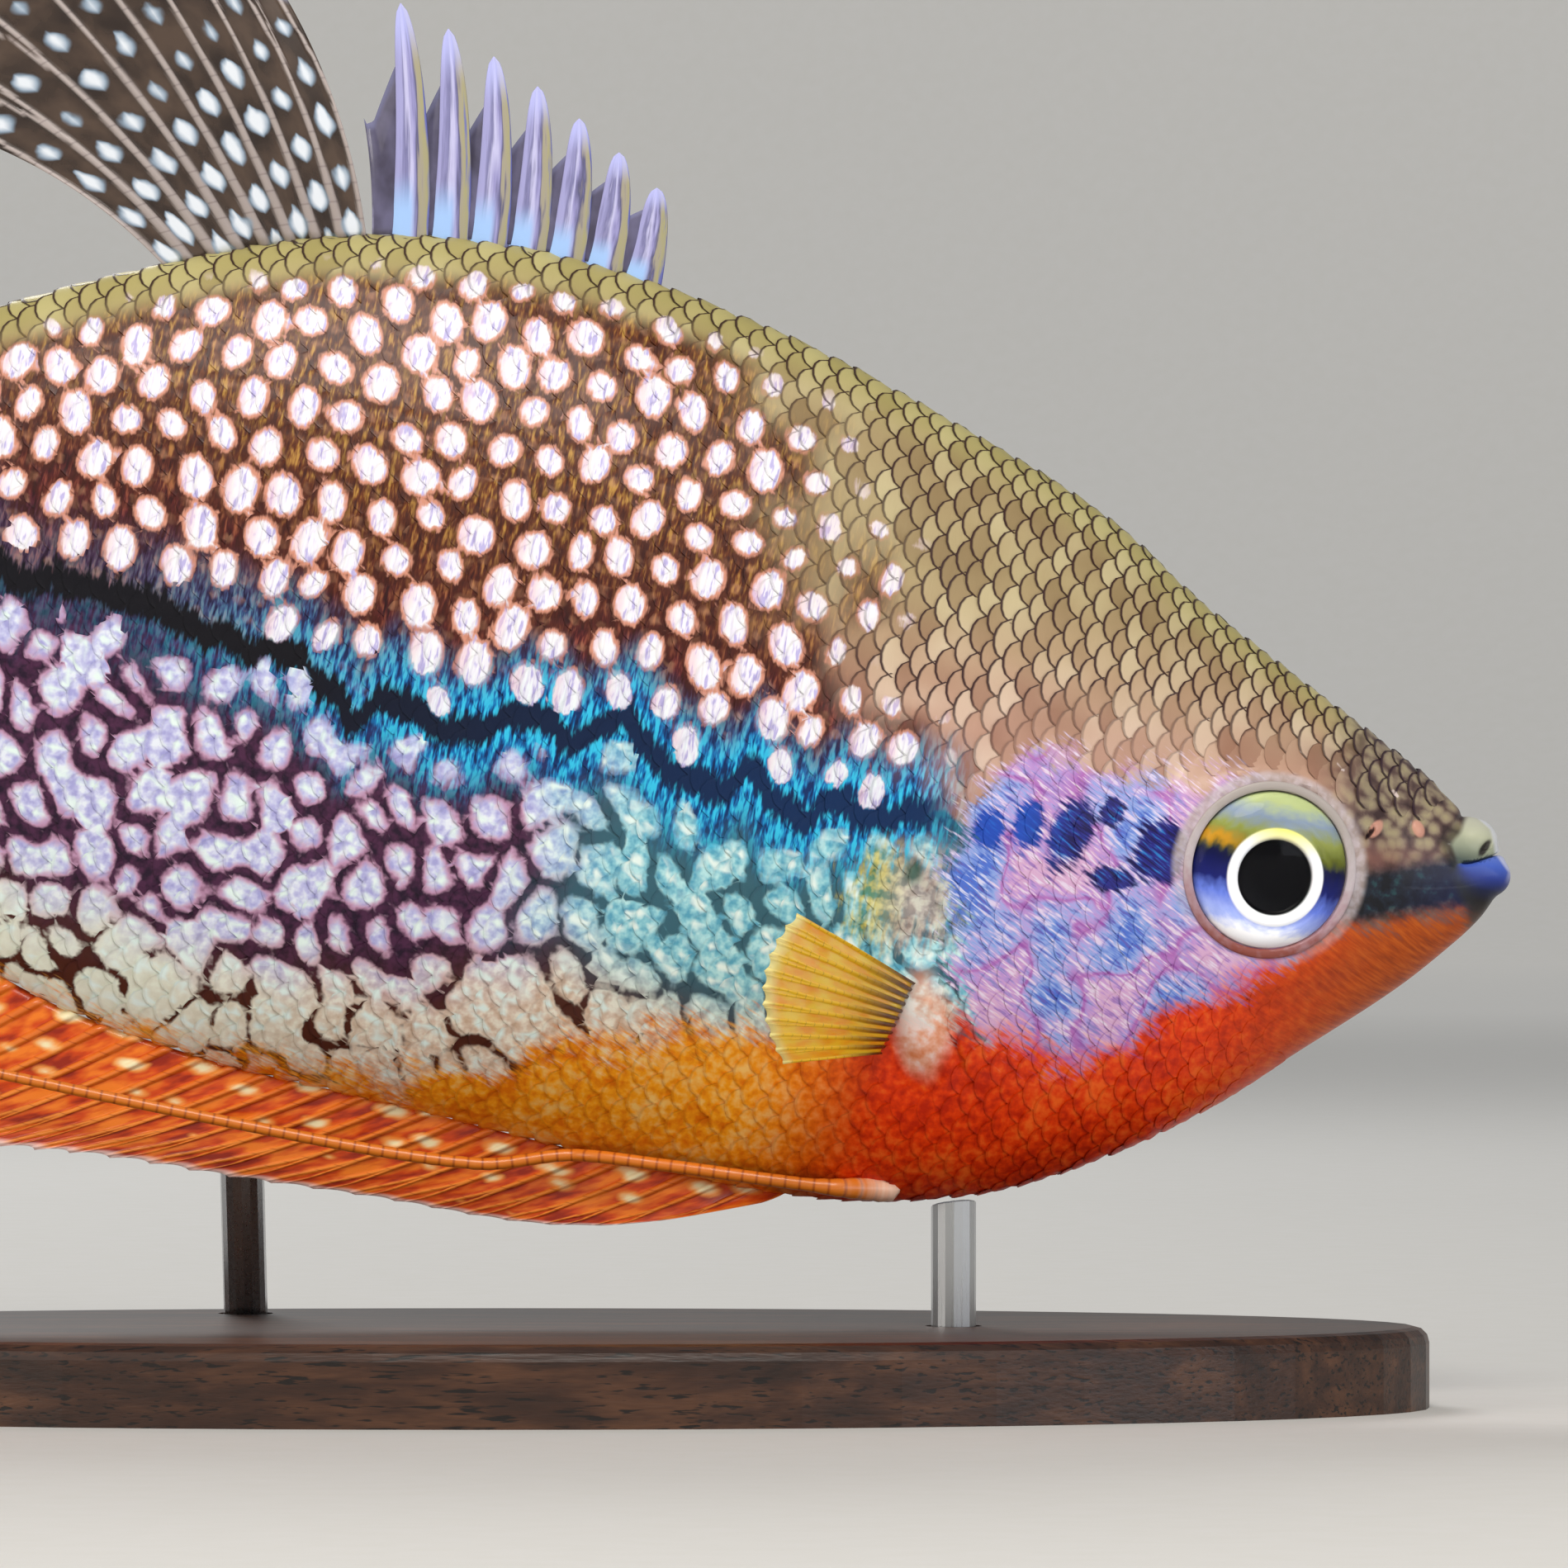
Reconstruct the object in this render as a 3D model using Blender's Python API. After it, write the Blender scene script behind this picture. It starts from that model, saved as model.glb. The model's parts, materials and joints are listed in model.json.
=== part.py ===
"""A life-size display model of a male pearl gourami, swimming with its nose a little down, on a small stand.

The fish is modelled in its own frame, hung from one empty that holds its pose:
  -X runs back along the body from the tip of the lower lip, Y is across the body, Z is up the back.
A place on the fish is given as (s, h): s is how far behind the lip it is, h is how high above the body's axis.
"""

import math

import bmesh
import bpy
from mathutils import Matrix, Vector

# Driving sizes, in metres and radians
MM = 0.001
BODY_LENGTH = 95.0 * MM  # lip to the root of the tail fin
NOSE_DOWN = math.radians(11.0)
GAP = 0.3 * MM  # kept between pieces that touch
CUT_TRUNK = 60.0 * MM  # where the trunk ends and the tail stalk starts

# Body stations, in millimetres: distance behind the lip, back, belly, half width, level of the widest point
STATIONS = (
    (0.3, 0.3, -1.3, 0.8, -0.5),
    (1.0, 1.2, -2.9, 1.5, -0.9),
    (2.2, 2.0, -4.6, 2.1, -1.4),
    (4.4, 3.45, -7.2, 2.95, -1.9),
    (8.0, 5.3, -10.7, 4.1, -2.3),
    (12.0, 7.25, -14.4, 5.1, -2.8),
    (17.0, 9.8, -18.0, 6.0, -3.6),
    (22.5, 13.1, -20.8, 6.7, -4.3),
    (30.0, 16.0, -22.5, 7.2, -5.0),
    (40.0, 19.0, -22.6, 7.3, -5.2),
    (52.0, 20.7, -22.0, 6.8, -4.4),
    (62.0, 19.6, -21.5, 5.9, -3.2),
    (72.0, 15.9, -19.4, 4.7, -2.0),
    (82.0, 11.0, -13.7, 3.4, -1.2),
    (90.0, 7.3, -8.2, 2.4, -0.6),
    (95.0, 6.4, -6.6, 1.3, -0.2),
)
# How fast the sides close in: 1 is an ellipse, more is a sharper ridge or keel
RIDGE_SHARPNESS = ((0.0, 0.95), (20.0, 1.05), (50.0, 1.25), (95.0, 1.1))
KEEL_SHARPNESS = ((0.0, 0.9), (25.0, 0.95), (38.0, 1.3), (80.0, 1.35), (95.0, 1.1))

# Head
HEAD_END = 27.4 * MM  # rear edge of the head at mid height
HEAD_END_LEVEL = -4.5 * MM
HEAD_END_CURVE = 7.6 * MM / (16.5 * MM) ** 2
EYE_PLACE = (11.8 * MM, -2.4 * MM)
EYE_RADIUS = 3.9 * MM
EYE_DOME = 1.25 * MM
EYE_DEPTH = 2.1 * MM
EYE_FORWARD = math.radians(13.0)
EYE_DOWN = math.radians(3.0)
ORBIT_RIM = 0.28 * MM
NOSTRILS = ((7.0 * MM, 0.5 * MM, 0.42 * MM), (4.9 * MM, 1.0 * MM, 0.34 * MM))
MOUTH_CORNER = (2.9 * MM, -0.3 * MM)
GILL_CENTRE = (20.9 * MM, -9.0 * MM)
GILL_LONG = 9.0 * MM
GILL_SHORT = 5.1 * MM
GILL_TILT = math.radians(68.0)  # of its long way, from straight back
GILL_PLATE = 1.0 * MM
GILL_PROUD = 0.25 * MM

# Fins: thicknesses are halves, and the lengths and depths in the tables are in millimetres
MEMBRANE = 0.25 * MM
RAY_AT_ROOT = 0.44 * MM
RAY_AT_TIP = 0.31 * MM
MARGIN = 0.15 * MM
SPINE_COUNT = 7
SPINE_START = 47.3 * MM
SPINE_SPACING = 1.93 * MM
FIRST_SPINE = 4.4 * MM
SPINE_GROWTH = 1.16 * MM
SPINE_LEAN = (math.radians(-4.0), math.radians(8.0))
SPINE_LEAN_GROWTH = math.radians(1.9)
# A spine and the membrane behind it: share of the way to the next spine, share of the spine's length, whether it is spine
SPINE_LOBE = ((0.0, 0.74, True), (0.22, 1.0, True), (0.45, 0.76, True), (0.55, 0.62, False), (0.94, 0.42, False))
DORSAL_SOFT_START = 61.0 * MM
DORSAL_SOFT_END = 70.5 * MM
DORSAL_SOFT_RAYS = 9
DORSAL_SOFT_LENGTH = (
    (0.0, 13.0), (0.12, 17.0), (0.25, 23.0), (0.38, 29.0), (0.5, 32.0), (0.62, 29.5), (0.8, 20.0), (1.0, 12.0),
)
DORSAL_SOFT_ROOT_LEAN = (math.radians(18.0), math.radians(54.0))
DORSAL_SOFT_TIP_LEAN = (math.radians(42.0), math.radians(82.0))
ANAL_START = 31.9 * MM
ANAL_END = 92.3 * MM
ANAL_RAYS = 38
ANAL_DEPTH = (
    (0.0, 0.7), (0.027, 2.3), (0.053, 3.2), (0.1, 3.9), (0.2, 4.3), (0.3, 5.0), (0.4, 5.5),
    (0.5, 6.5), (0.63, 8.6), (0.75, 11.2), (0.86, 13.4), (0.94, 13.8), (1.0, 11.0),
)
ANAL_LEAN = ((0.0, 58.0), (0.4, 62.0), (0.8, 50.0), (1.0, 42.0))
TAIL_RAYS = (15.0, 21.5, 24.0, 23.6, 22.3, 20.8, 19.9, 19.5)  # outermost to middle
TAIL_SPREAD = math.radians(27.0)
TAIL_ROOT_HALF = 0.85 * MM
PECTORAL_PLACE = (28.3 * MM, -12.9 * MM)
PECTORAL_ROOT = 3.7 * MM
PECTORAL_ROOT_SLANT = 0.25
PECTORAL_LENGTH = 15.2 * MM
PECTORAL_RAYS = 11
PECTORAL_OUT = math.radians(68.0)
PECTORAL_UP = math.radians(4.0)
PECTORAL_FAN = (math.radians(-9.0), math.radians(5.0))
PELVIC_START = 26.4 * MM
PELVIC_LENGTH = 62.0 * MM
PELVIC_RADIUS = (0.75 * MM, 0.34 * MM, 0.25 * MM)
# Height of a feeler, in millimetres, by how far behind the lip it is
PELVIC_COURSE = ((26.4, -21.2), (30.0, -21.7), (38.0, -22.2), (42.5, -22.6), (47.0, -23.9), (58.0, -24.2), (88.0, -23.6))

# Stand
BASE_SIZE = (92.0 * MM, 42.0 * MM, 4.0 * MM)
SNOUT_PLACE = Vector((50.0 * MM, 0.0, 26.5 * MM))
ROD_RADIUS = 1.1 * MM
ROD_SOCKET = 2.5 * MM
FRONT_ROD = (24.0 * MM, 0.0)  # s and side of its upper end
REAR_ROD = (61.0 * MM, -15.5 * MM)  # s and h of its upper end, on the left flank
REAR_ROD_LEAN = math.radians(30.0)


def clear_scene():
    for obj in list(bpy.data.objects):
        bpy.data.objects.remove(obj, do_unlink=True)


def material(name, colour, roughness=0.5, metallic=0.0):
    made = bpy.data.materials.new(name)
    made.use_nodes = True
    shader = made.node_tree.nodes["Principled BSDF"]
    shader.inputs["Base Color"].default_value = (*colour, 1.0)
    shader.inputs["Roughness"].default_value = roughness
    shader.inputs["Metallic"].default_value = metallic
    return made


def smooth_table(rows, at, column=1):
    """The value of one column at a place, on a smooth curve through the table's rows."""
    last = len(rows) - 1
    at = min(max(at, rows[0][0]), rows[last][0])
    i = 0
    while i < last - 1 and rows[i + 1][0] < at:
        i += 1

    def slope(k):
        a, b = max(k - 1, 0), min(k + 1, last)
        return (rows[b][column] - rows[a][column]) / (rows[b][0] - rows[a][0])

    width = rows[i + 1][0] - rows[i][0]
    t = (at - rows[i][0]) / width
    start, end = rows[i][column], rows[i + 1][column]
    return (
        (2 * t**3 - 3 * t**2 + 1) * start
        + (t**3 - 2 * t**2 + t) * width * slope(i)
        + (3 * t**2 - 2 * t**3) * end
        + (t**3 - t**2) * width * slope(i + 1)
    )


def straight_table(rows, at):
    """The value at a place, on straight lines between the table's rows."""
    for (a, first), (b, second) in zip(rows, rows[1:]):
        if at <= b:
            return first + (second - first) * max(0.0, (at - a) / (b - a))
    return rows[-1][1]


def back(s):
    return smooth_table(STATIONS, s / MM, 1) * MM


def belly(s):
    return smooth_table(STATIONS, s / MM, 2) * MM


def section_point(s, angle):
    """Height and side of the skin at an angle round the body: 0 is the left side, a quarter turn is the back."""
    half = smooth_table(STATIONS, s / MM, 3) * MM
    middle = smooth_table(STATIONS, s / MM, 4) * MM
    up, across = math.sin(angle), math.cos(angle)
    reach = back(s) - middle if up > 0 else middle - belly(s)
    sharpness = straight_table(RIDGE_SHARPNESS if up > 0 else KEEL_SHARPNESS, s / MM)
    side = math.copysign(half * abs(across) ** sharpness, across)
    return middle + reach * up, side


def side_at(s, h):
    """How far out the skin is at a height on the side."""
    middle = smooth_table(STATIONS, s / MM, 4) * MM
    reach = back(s) - middle if h > middle else middle - belly(s)
    up = max(-0.999, min(0.999, (h - middle) / reach))
    return abs(section_point(s, math.asin(up))[1])


def on_body(s, h, side, out=0.0):
    """A point of the fish's frame on its side, -1 for right and 1 for left, moved straight out of the skin."""
    step = 0.4 * MM
    along = (side_at(s + step, h) - side_at(s - step, h)) / (2 * step)
    upward = (side_at(s, h + step) - side_at(s, h - step)) / (2 * step)
    normal = Vector((along, side, -upward)).normalized()
    return Vector((-s, side * side_at(s, h), h)) + normal * out, normal


def head_end(h):
    return HEAD_END - HEAD_END_CURVE * (h - HEAD_END_LEVEL) ** 2


def head_end_at(angle):
    """Where the head's rear edge is at an angle round the body."""
    s = HEAD_END
    for _ in range(12):
        s = 0.5 * (s + head_end(section_point(s, angle)[0]))
    return s


def ring_angle(k, sides):
    """Angles round the body, with one point on the back and one on the belly."""
    return 2 * math.pi * k / sides + math.pi / 2


def mesh_object(name, points, faces, paint=None, parent=None):
    mesh = bpy.data.meshes.new(name)
    mesh.from_pydata(points, [], faces)
    mesh.validate()
    made = bpy.data.objects.new(name, mesh)
    bpy.context.scene.collection.objects.link(made)
    outward(made)
    if paint:
        mesh.materials.append(paint)
    made.parent = parent
    return made


def outward(obj):
    """Turns every face of a closed mesh to point out."""
    work = bmesh.new()
    work.from_mesh(obj.data)
    bmesh.ops.recalc_face_normals(work, faces=work.faces)
    if work.calc_volume(signed=True) < 0:
        bmesh.ops.reverse_faces(work, faces=work.faces)
    work.to_mesh(obj.data)
    work.free()
    return obj


def body_loft(name, start, end, rings, sides, nose_cap=None, parent=None, paint=None):
    """A closed length of the body between two edges, each a function of the angle round the body."""
    points = []
    for r in range(rings + 1):
        share = r / rings
        for k in range(sides):
            angle = ring_angle(k, sides)
            s = start(angle) + (end(angle) - start(angle)) * share
            h, side = section_point(s, angle)
            points.append(Vector((-s, side, h)))
    faces = []
    for r in range(rings):
        for k in range(sides):
            a, b = r * sides + k, r * sides + (k + 1) % sides
            faces.append((a, b, b + sides, a + sides))
    for ring, centre in ((0, nose_cap), (rings, None)):
        edge = points[ring * sides : (ring + 1) * sides]
        middle = centre or sum(edge, Vector()) / sides
        points.append(middle)
        tip = len(points) - 1
        for k in range(sides):
            faces.append((ring * sides + k, ring * sides + (k + 1) % sides, tip))
    return mesh_object(name, points, faces, paint, parent)


def ellipsoid(name, centre, radii, tilt=0.0, segments=16, rings=10):
    work = bmesh.new()
    bmesh.ops.create_uvsphere(work, u_segments=segments, v_segments=rings, radius=1.0)
    place = Matrix.Translation(centre) @ Matrix.Rotation(tilt, 4, "Y") @ Matrix.Diagonal((*radii, 1.0))
    bmesh.ops.transform(work, matrix=place, verts=work.verts)
    mesh = bpy.data.meshes.new(name)
    work.to_mesh(mesh)
    work.free()
    made = bpy.data.objects.new(name, mesh)
    bpy.context.scene.collection.objects.link(made)
    return made


def boolean(obj, operation, cutter=None, group=None):
    """Applies one Boolean at once and keeps the largest closed surface."""
    modifier = obj.modifiers.new(operation.lower(), "BOOLEAN")
    modifier.operation = operation
    modifier.solver = "EXACT"
    if group:
        modifier.operand_type = "COLLECTION"
        modifier.collection = group
    else:
        modifier.object = cutter
    bpy.context.view_layer.update()
    graph = bpy.context.evaluated_depsgraph_get()
    result = bpy.data.meshes.new_from_object(obj.evaluated_get(graph))
    obj.modifiers.remove(modifier)
    old = obj.data
    obj.data = result
    bpy.data.meshes.remove(old)
    keep_largest(obj)
    return obj


def keep_largest(obj):
    work = bmesh.new()
    work.from_mesh(obj.data)
    bmesh.ops.remove_doubles(work, verts=work.verts, dist=0.004 * MM)
    unseen = set(work.faces)
    shells = []
    while unseen:
        front = [unseen.pop()]
        shell = list(front)
        while front:
            face = front.pop()
            for edge in face.edges:
                for other in edge.link_faces:
                    if other in unseen:
                        unseen.remove(other)
                        front.append(other)
                        shell.append(other)
        shells.append(shell)
    biggest = max(shells, key=lambda faces: sum(face.calc_area() for face in faces))
    loose = [face for shell in shells if shell is not biggest for face in shell]
    bmesh.ops.delete(work, geom=loose, context="FACES")
    bmesh.ops.triangulate(work, faces=work.faces)
    work.to_mesh(obj.data)
    work.free()


def unite(obj, pieces):
    """Joins closed pieces to an object in one union, then removes them."""
    group = bpy.data.collections.new("pieces")
    bpy.context.scene.collection.children.link(group)
    for piece in pieces:
        bpy.context.scene.collection.objects.unlink(piece)
        group.objects.link(piece)
    boolean(obj, "UNION", group=group)
    for piece in pieces:
        bpy.data.objects.remove(piece, do_unlink=True)
    bpy.data.collections.remove(group)
    return obj


def cut(obj, cutters):
    for cutter in cutters:
        boolean(obj, "DIFFERENCE", cutter)
    return obj


def remove(pieces):
    for piece in pieces:
        bpy.data.objects.remove(piece, do_unlink=True)


def soften(obj, limit=math.radians(40.0)):
    obj.data.shade_smooth()
    obj.data.set_sharp_from_angle(angle=limit)


def lathe(name, profile, sides, place):
    """A solid turned round its own Z axis from (radius, height) pairs, bottom to top, both ends on the axis."""
    points = [place @ Vector((0, 0, profile[0][1]))]
    for radius, height in profile[1:-1]:
        for k in range(sides):
            turn = 2 * math.pi * k / sides
            points.append(place @ Vector((radius * math.cos(turn), radius * math.sin(turn), height)))
    points.append(place @ Vector((0, 0, profile[-1][1])))
    rings = len(profile) - 2
    faces = []
    for k in range(sides):
        n = (k + 1) % sides
        faces.append((0, 1 + n, 1 + k))
        for r in range(rings - 1):
            a, b = 1 + r * sides + k, 1 + r * sides + n
            faces.append((a, b, b + sides, a + sides))
        top = 1 + (rings - 1) * sides
        faces.append((top + k, top + n, len(points) - 1))
    return mesh_object(name, points, faces)


def eye_frame(side):
    """The eye's own frame: origin on the skin, +Z the way it looks."""
    centre, _ = on_body(*EYE_PLACE, side)
    look = Vector(
        (
            math.sin(EYE_FORWARD) * math.cos(EYE_DOWN),
            side * math.cos(EYE_FORWARD) * math.cos(EYE_DOWN),
            -math.sin(EYE_DOWN),
        )
    )
    turn = look.to_track_quat("Z", "Y").to_matrix().to_4x4()
    return Matrix.Translation(centre) @ turn


def eye_solid(name, side, extra=0.0, dome=EYE_DOME):
    """The eyeball's shown part: a shallow dome on a cup that sinks into the head."""
    radius = EYE_RADIUS + extra
    profile = [(0.0, -EYE_DEPTH - extra), (0.62 * radius, -EYE_DEPTH - extra)]
    profile += [(0.9 * radius, -0.55 * EYE_DEPTH - extra), (radius, -0.1 * MM)]
    for share in (0.2, 0.4, 0.6, 0.8):
        turn = share * math.pi / 2
        profile.append((radius * math.cos(turn), -0.1 * MM + (dome + 0.1 * MM) * math.sin(turn)))
    profile.append((0.0, dome))
    return lathe(name, profile, 28, eye_frame(side))


def orbit_rim(side):
    """A low ring of skin round the eye, sunk into the head."""
    outer, inner = EYE_RADIUS + 1.0 * MM, EYE_RADIUS - 0.6 * MM
    profile = [(0.0, -1.6 * MM), (inner, -1.6 * MM), (outer, -0.9 * MM)]
    profile += [(outer - 0.35 * MM, 0.5 * ORBIT_RIM), (outer - 0.75 * MM, ORBIT_RIM), (0.0, ORBIT_RIM)]
    return lathe("orbit_rim", profile, 28, eye_frame(side))


def prism(name, outline, half_width):
    """A block across the body, with an outline of (s, h) pairs."""
    points = [Vector((-s, side * half_width, h)) for side in (-1, 1) for s, h in outline]
    count = len(outline)
    faces = [tuple(range(count)), tuple(range(2 * count - 1, count - 1, -1))]
    for k in range(count):
        n = (k + 1) % count
        faces.append((k, n, n + count, k + count))
    return mesh_object(name, points, faces)


def jaw_block(name, grow):
    """The space of the lower jaw: under the line of the mouth and in front of the jaw's hinge."""
    s, h = MOUTH_CORNER
    outline = (
        (-2.0 * MM, 1.0 * MM + grow),
        (0.9 * MM, 0.45 * MM + grow),
        (s + 0.5 * grow, h + grow),
        (s + 0.45 * MM + grow, h - 1.3 * MM),
        (s + 0.3 * MM + grow, h - 3.4 * MM),
        (s - 0.1 * MM + grow, -9.0 * MM),
        (-2.0 * MM, -9.0 * MM),
    )
    return prism(name, outline, 8.0 * MM)


def gill_patch(name, side, grow, under, over):
    """A plate that follows the side of the head: an oval grown all round, from under the skin to over it."""
    rings, sides = 5, 32
    long_way = Vector((math.cos(GILL_TILT), math.sin(GILL_TILT)))
    short_way = Vector((math.sin(GILL_TILT), -math.cos(GILL_TILT)))
    layers = []
    for out in (-under, over):
        layer = []
        for r in range(rings + 1):
            for k in range(sides if r else 1):
                turn = 2 * math.pi * k / sides
                share = r / rings
                place = Vector(GILL_CENTRE)
                place += long_way * (GILL_LONG + grow) * share * math.cos(turn)
                place += short_way * (GILL_SHORT + grow) * share * math.sin(turn)
                layer.append(on_body(place.x, place.y, side, out)[0])
        layers.append(layer)
    size = len(layers[0])
    faces = []
    for shift in (0, size):
        for k in range(sides):
            n = (k + 1) % sides
            faces.append((shift, shift + 1 + k, shift + 1 + n))
            for r in range(rings - 1):
                a, b = shift + 1 + r * sides + k, shift + 1 + r * sides + n
                faces += [(a, a + sides, b + sides), (a, b + sides, b)]
    edge = 1 + (rings - 1) * sides
    for k in range(sides):
        n = (k + 1) % sides
        faces += [(edge + k, edge + n, size + edge + n), (edge + k, size + edge + n, size + edge + k)]
    return mesh_object(name, layers[0] + layers[1], faces)


def make_head(pose, paints):
    head = body_loft(
        "head",
        lambda angle: 0.3 * MM,
        head_end_at,
        rings=20,
        sides=44,
        nose_cap=Vector((0.0, 0.0, -0.45 * MM)),
    )
    upper_lip = ellipsoid("upper_lip", Vector((-1.75 * MM, 0, 0.55 * MM)), (1.2 * MM, 1.45 * MM, 1.2 * MM), 0.5)
    lower_lip = ellipsoid("lower_lip", Vector((-1.05 * MM, 0, -0.85 * MM)), (1.1 * MM, 1.35 * MM, 1.0 * MM), -0.6)
    unite(head, [upper_lip, lower_lip, orbit_rim(-1), orbit_rim(1)])
    cutters = []
    for side in (-1, 1):
        cutters.append(gill_patch("gill_recess", side, GAP, GILL_PLATE + GAP, 3.0 * MM))
        cutters.append(eye_solid("socket", side, extra=GAP, dome=4.0 * MM))
        for s, h, radius in NOSTRILS:
            centre, _ = on_body(s, h, side, 0.05 * MM)
            cutters.append(ellipsoid("nostril", centre, (radius, radius, radius), 0.0, 10, 6))
    jaw = head.copy()
    jaw.data = head.data.copy()
    jaw.name = "jaw"
    bpy.context.scene.collection.objects.link(jaw)
    keep, clear = jaw_block("jaw_space", 0.0), jaw_block("jaw_clearance", GAP)
    boolean(jaw, "INTERSECT", keep)
    cut(head, cutters + [clear])
    remove(cutters + [keep, clear])
    for obj, paint in ((head, "head"), (jaw, "jaw")):
        obj.data.materials.clear()
        obj.data.materials.append(paints[paint])
        obj.parent = pose
        soften(obj)


def make_gill_cover(side, word, pose, paints):
    cover = gill_patch("gill_cover_" + word, side, 0.0, GILL_PLATE, GILL_PROUD)
    cover.data.materials.append(paints["gill_cover"])
    cover.parent = pose
    soften(cover)


def make_eye(side, word, pose, paints):
    eye = eye_solid("eye_" + word, side)
    eye.data.materials.append(paints["eye"])
    eye.parent = pose
    soften(eye, math.radians(60.0))


def make_trunk(pose, paints):
    trunk = body_loft(
        "trunk",
        lambda angle: head_end_at(angle) + GAP,
        lambda angle: CUT_TRUNK,
        rings=14,
        sides=40,
        paint=paints["trunk"],
        parent=pose,
    )
    soften(trunk)
    stalk = body_loft(
        "tail_stalk",
        lambda angle: CUT_TRUNK + GAP,
        lambda angle: BODY_LENGTH,
        rings=16,
        sides=36,
        paint=paints["tail_stalk"],
        parent=pose,
    )
    soften(stalk)


def ray_line(root, length, lean, rows, way):
    """Points along a ray that leans from one angle at its root to another at its tip. way turns an angle to a unit step."""
    points = [Vector(root)]
    steps = 6
    for row in range(rows):
        for step in range(steps):
            share = (row + (step + 0.5) / steps) / rows
            angle = lean[0] + (lean[1] - lean[0]) * share
            last = points[-1] if step == 0 else here
            here = last + way(angle) * (length / rows / steps)
        points.append(here)
    return points


def fin_solid(name, columns, place, paint, parent):
    """A closed fin from columns of (point in the fin's plane, half thickness, sideways shift), alike on both faces."""
    rows = len(columns[0])
    faces_of = [[], []]
    for column in columns:
        for point, half, shift in column:
            faces_of[0].append(place(point, shift + half))
            faces_of[1].append(place(point, shift - half))
    size = len(faces_of[0])
    faces = []
    for i in range(len(columns) - 1):
        for j in range(rows - 1):
            a, b = i * rows + j, (i + 1) * rows + j
            for shift in (0, size):
                faces += [(shift + a, shift + b, shift + b + 1), (shift + a, shift + b + 1, shift + a + 1)]
    rim = [(i * rows, (i + 1) * rows) for i in range(len(columns) - 1)]
    rim += [(i * rows + rows - 1, (i + 1) * rows + rows - 1) for i in range(len(columns) - 1)]
    rim += [(j, j + 1) for j in range(rows - 1)]
    last = (len(columns) - 1) * rows
    rim += [(last + j, last + j + 1) for j in range(rows - 1)]
    for a, b in rim:
        faces += [(a, b, size + b), (a, size + b, size + a)]
    fin = mesh_object(name, faces_of[0] + faces_of[1], faces, paint, parent)
    soften(fin, math.radians(60.0))
    return fin


def ribs(count, reach_between):
    """Steps across a fin: share of the way, whether a ray lies there, and how far the fin reaches there."""
    last = 2 * (count - 1)
    return [(k / last, k % 2 == 0, 1.0 if k % 2 == 0 else reach_between) for k in range(last + 1)]


def column_of(line, on_ray, wave, root_half=0.0):
    """Adds thickness and a sideways wave to the points along a ray or the membrane between two."""
    rows = len(line) - 1
    made = []
    for j, point in enumerate(line):
        share = j / rows
        half = RAY_AT_ROOT + (RAY_AT_TIP - RAY_AT_ROOT) * share if on_ray else MEMBRANE
        half += max(0.0, root_half - half) * max(0.0, 1 - 3 * share)
        if j == rows:
            half = MARGIN
        made.append((point, half, wave(point, share)))
    return made


def between(pair, share):
    return pair[0] + (pair[1] - pair[0]) * share


def upright(point, shift):
    """Places a point of a fin that stands on the body's middle plane. The point is (s, h)."""
    return Vector((-point.x, shift, point.y))


def upward(angle):
    return Vector((math.sin(angle), math.cos(angle)))


def downward(angle):
    return Vector((math.sin(angle), -math.cos(angle)))


def backward(angle):
    return Vector((math.cos(angle), math.sin(angle)))


def make_dorsal_fin(pose, paint):
    def wave(point, share):
        return 0.9 * MM * share**2 * math.sin((point.x - SPINE_START) / (9.0 * MM))

    columns = []

    def add(s, length, lean, on_ray):
        line = ray_line((s, back(s) + GAP), length, lean, 7, upward)
        columns.append(column_of(line, on_ray, wave))

    for k in range(SPINE_COUNT):
        for part, reach, on_spine in SPINE_LOBE:
            place = k + part - 0.22
            lean = [angle + SPINE_LEAN_GROWTH * place for angle in SPINE_LEAN]
            length = (FIRST_SPINE + SPINE_GROWTH * place) * reach
            add(SPINE_START + SPINE_SPACING * place, length, lean, on_spine)
    for share, on_ray, reach in ribs(DORSAL_SOFT_RAYS, 0.94):
        s = between((DORSAL_SOFT_START, DORSAL_SOFT_END), share)
        lean = (between(DORSAL_SOFT_ROOT_LEAN, share), between(DORSAL_SOFT_TIP_LEAN, share))
        add(s, smooth_table(DORSAL_SOFT_LENGTH, share) * MM * reach, lean, on_ray)
    fin_solid("dorsal_fin", columns, upright, paint, pose)


def make_anal_fin(pose, paint):
    def wave(point, share):
        return 0.8 * MM * share * math.sin(point.x / (6.5 * MM))

    columns = []
    for share, on_ray, _ in ribs(ANAL_RAYS, 1.0):
        s = between((ANAL_START, ANAL_END), share)
        lean = math.radians(straight_table(ANAL_LEAN, share))
        reach = 1.0 if on_ray else 0.95 - 0.1 * share
        length = smooth_table(ANAL_DEPTH, share) * MM / math.cos(lean) * reach
        line = ray_line((s, belly(s) - GAP), length, (lean - 0.12, lean + 0.12), 6, downward)
        columns.append(column_of(line, on_ray, wave))
    fin_solid("anal_fin", columns, upright, paint, pose)


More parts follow.
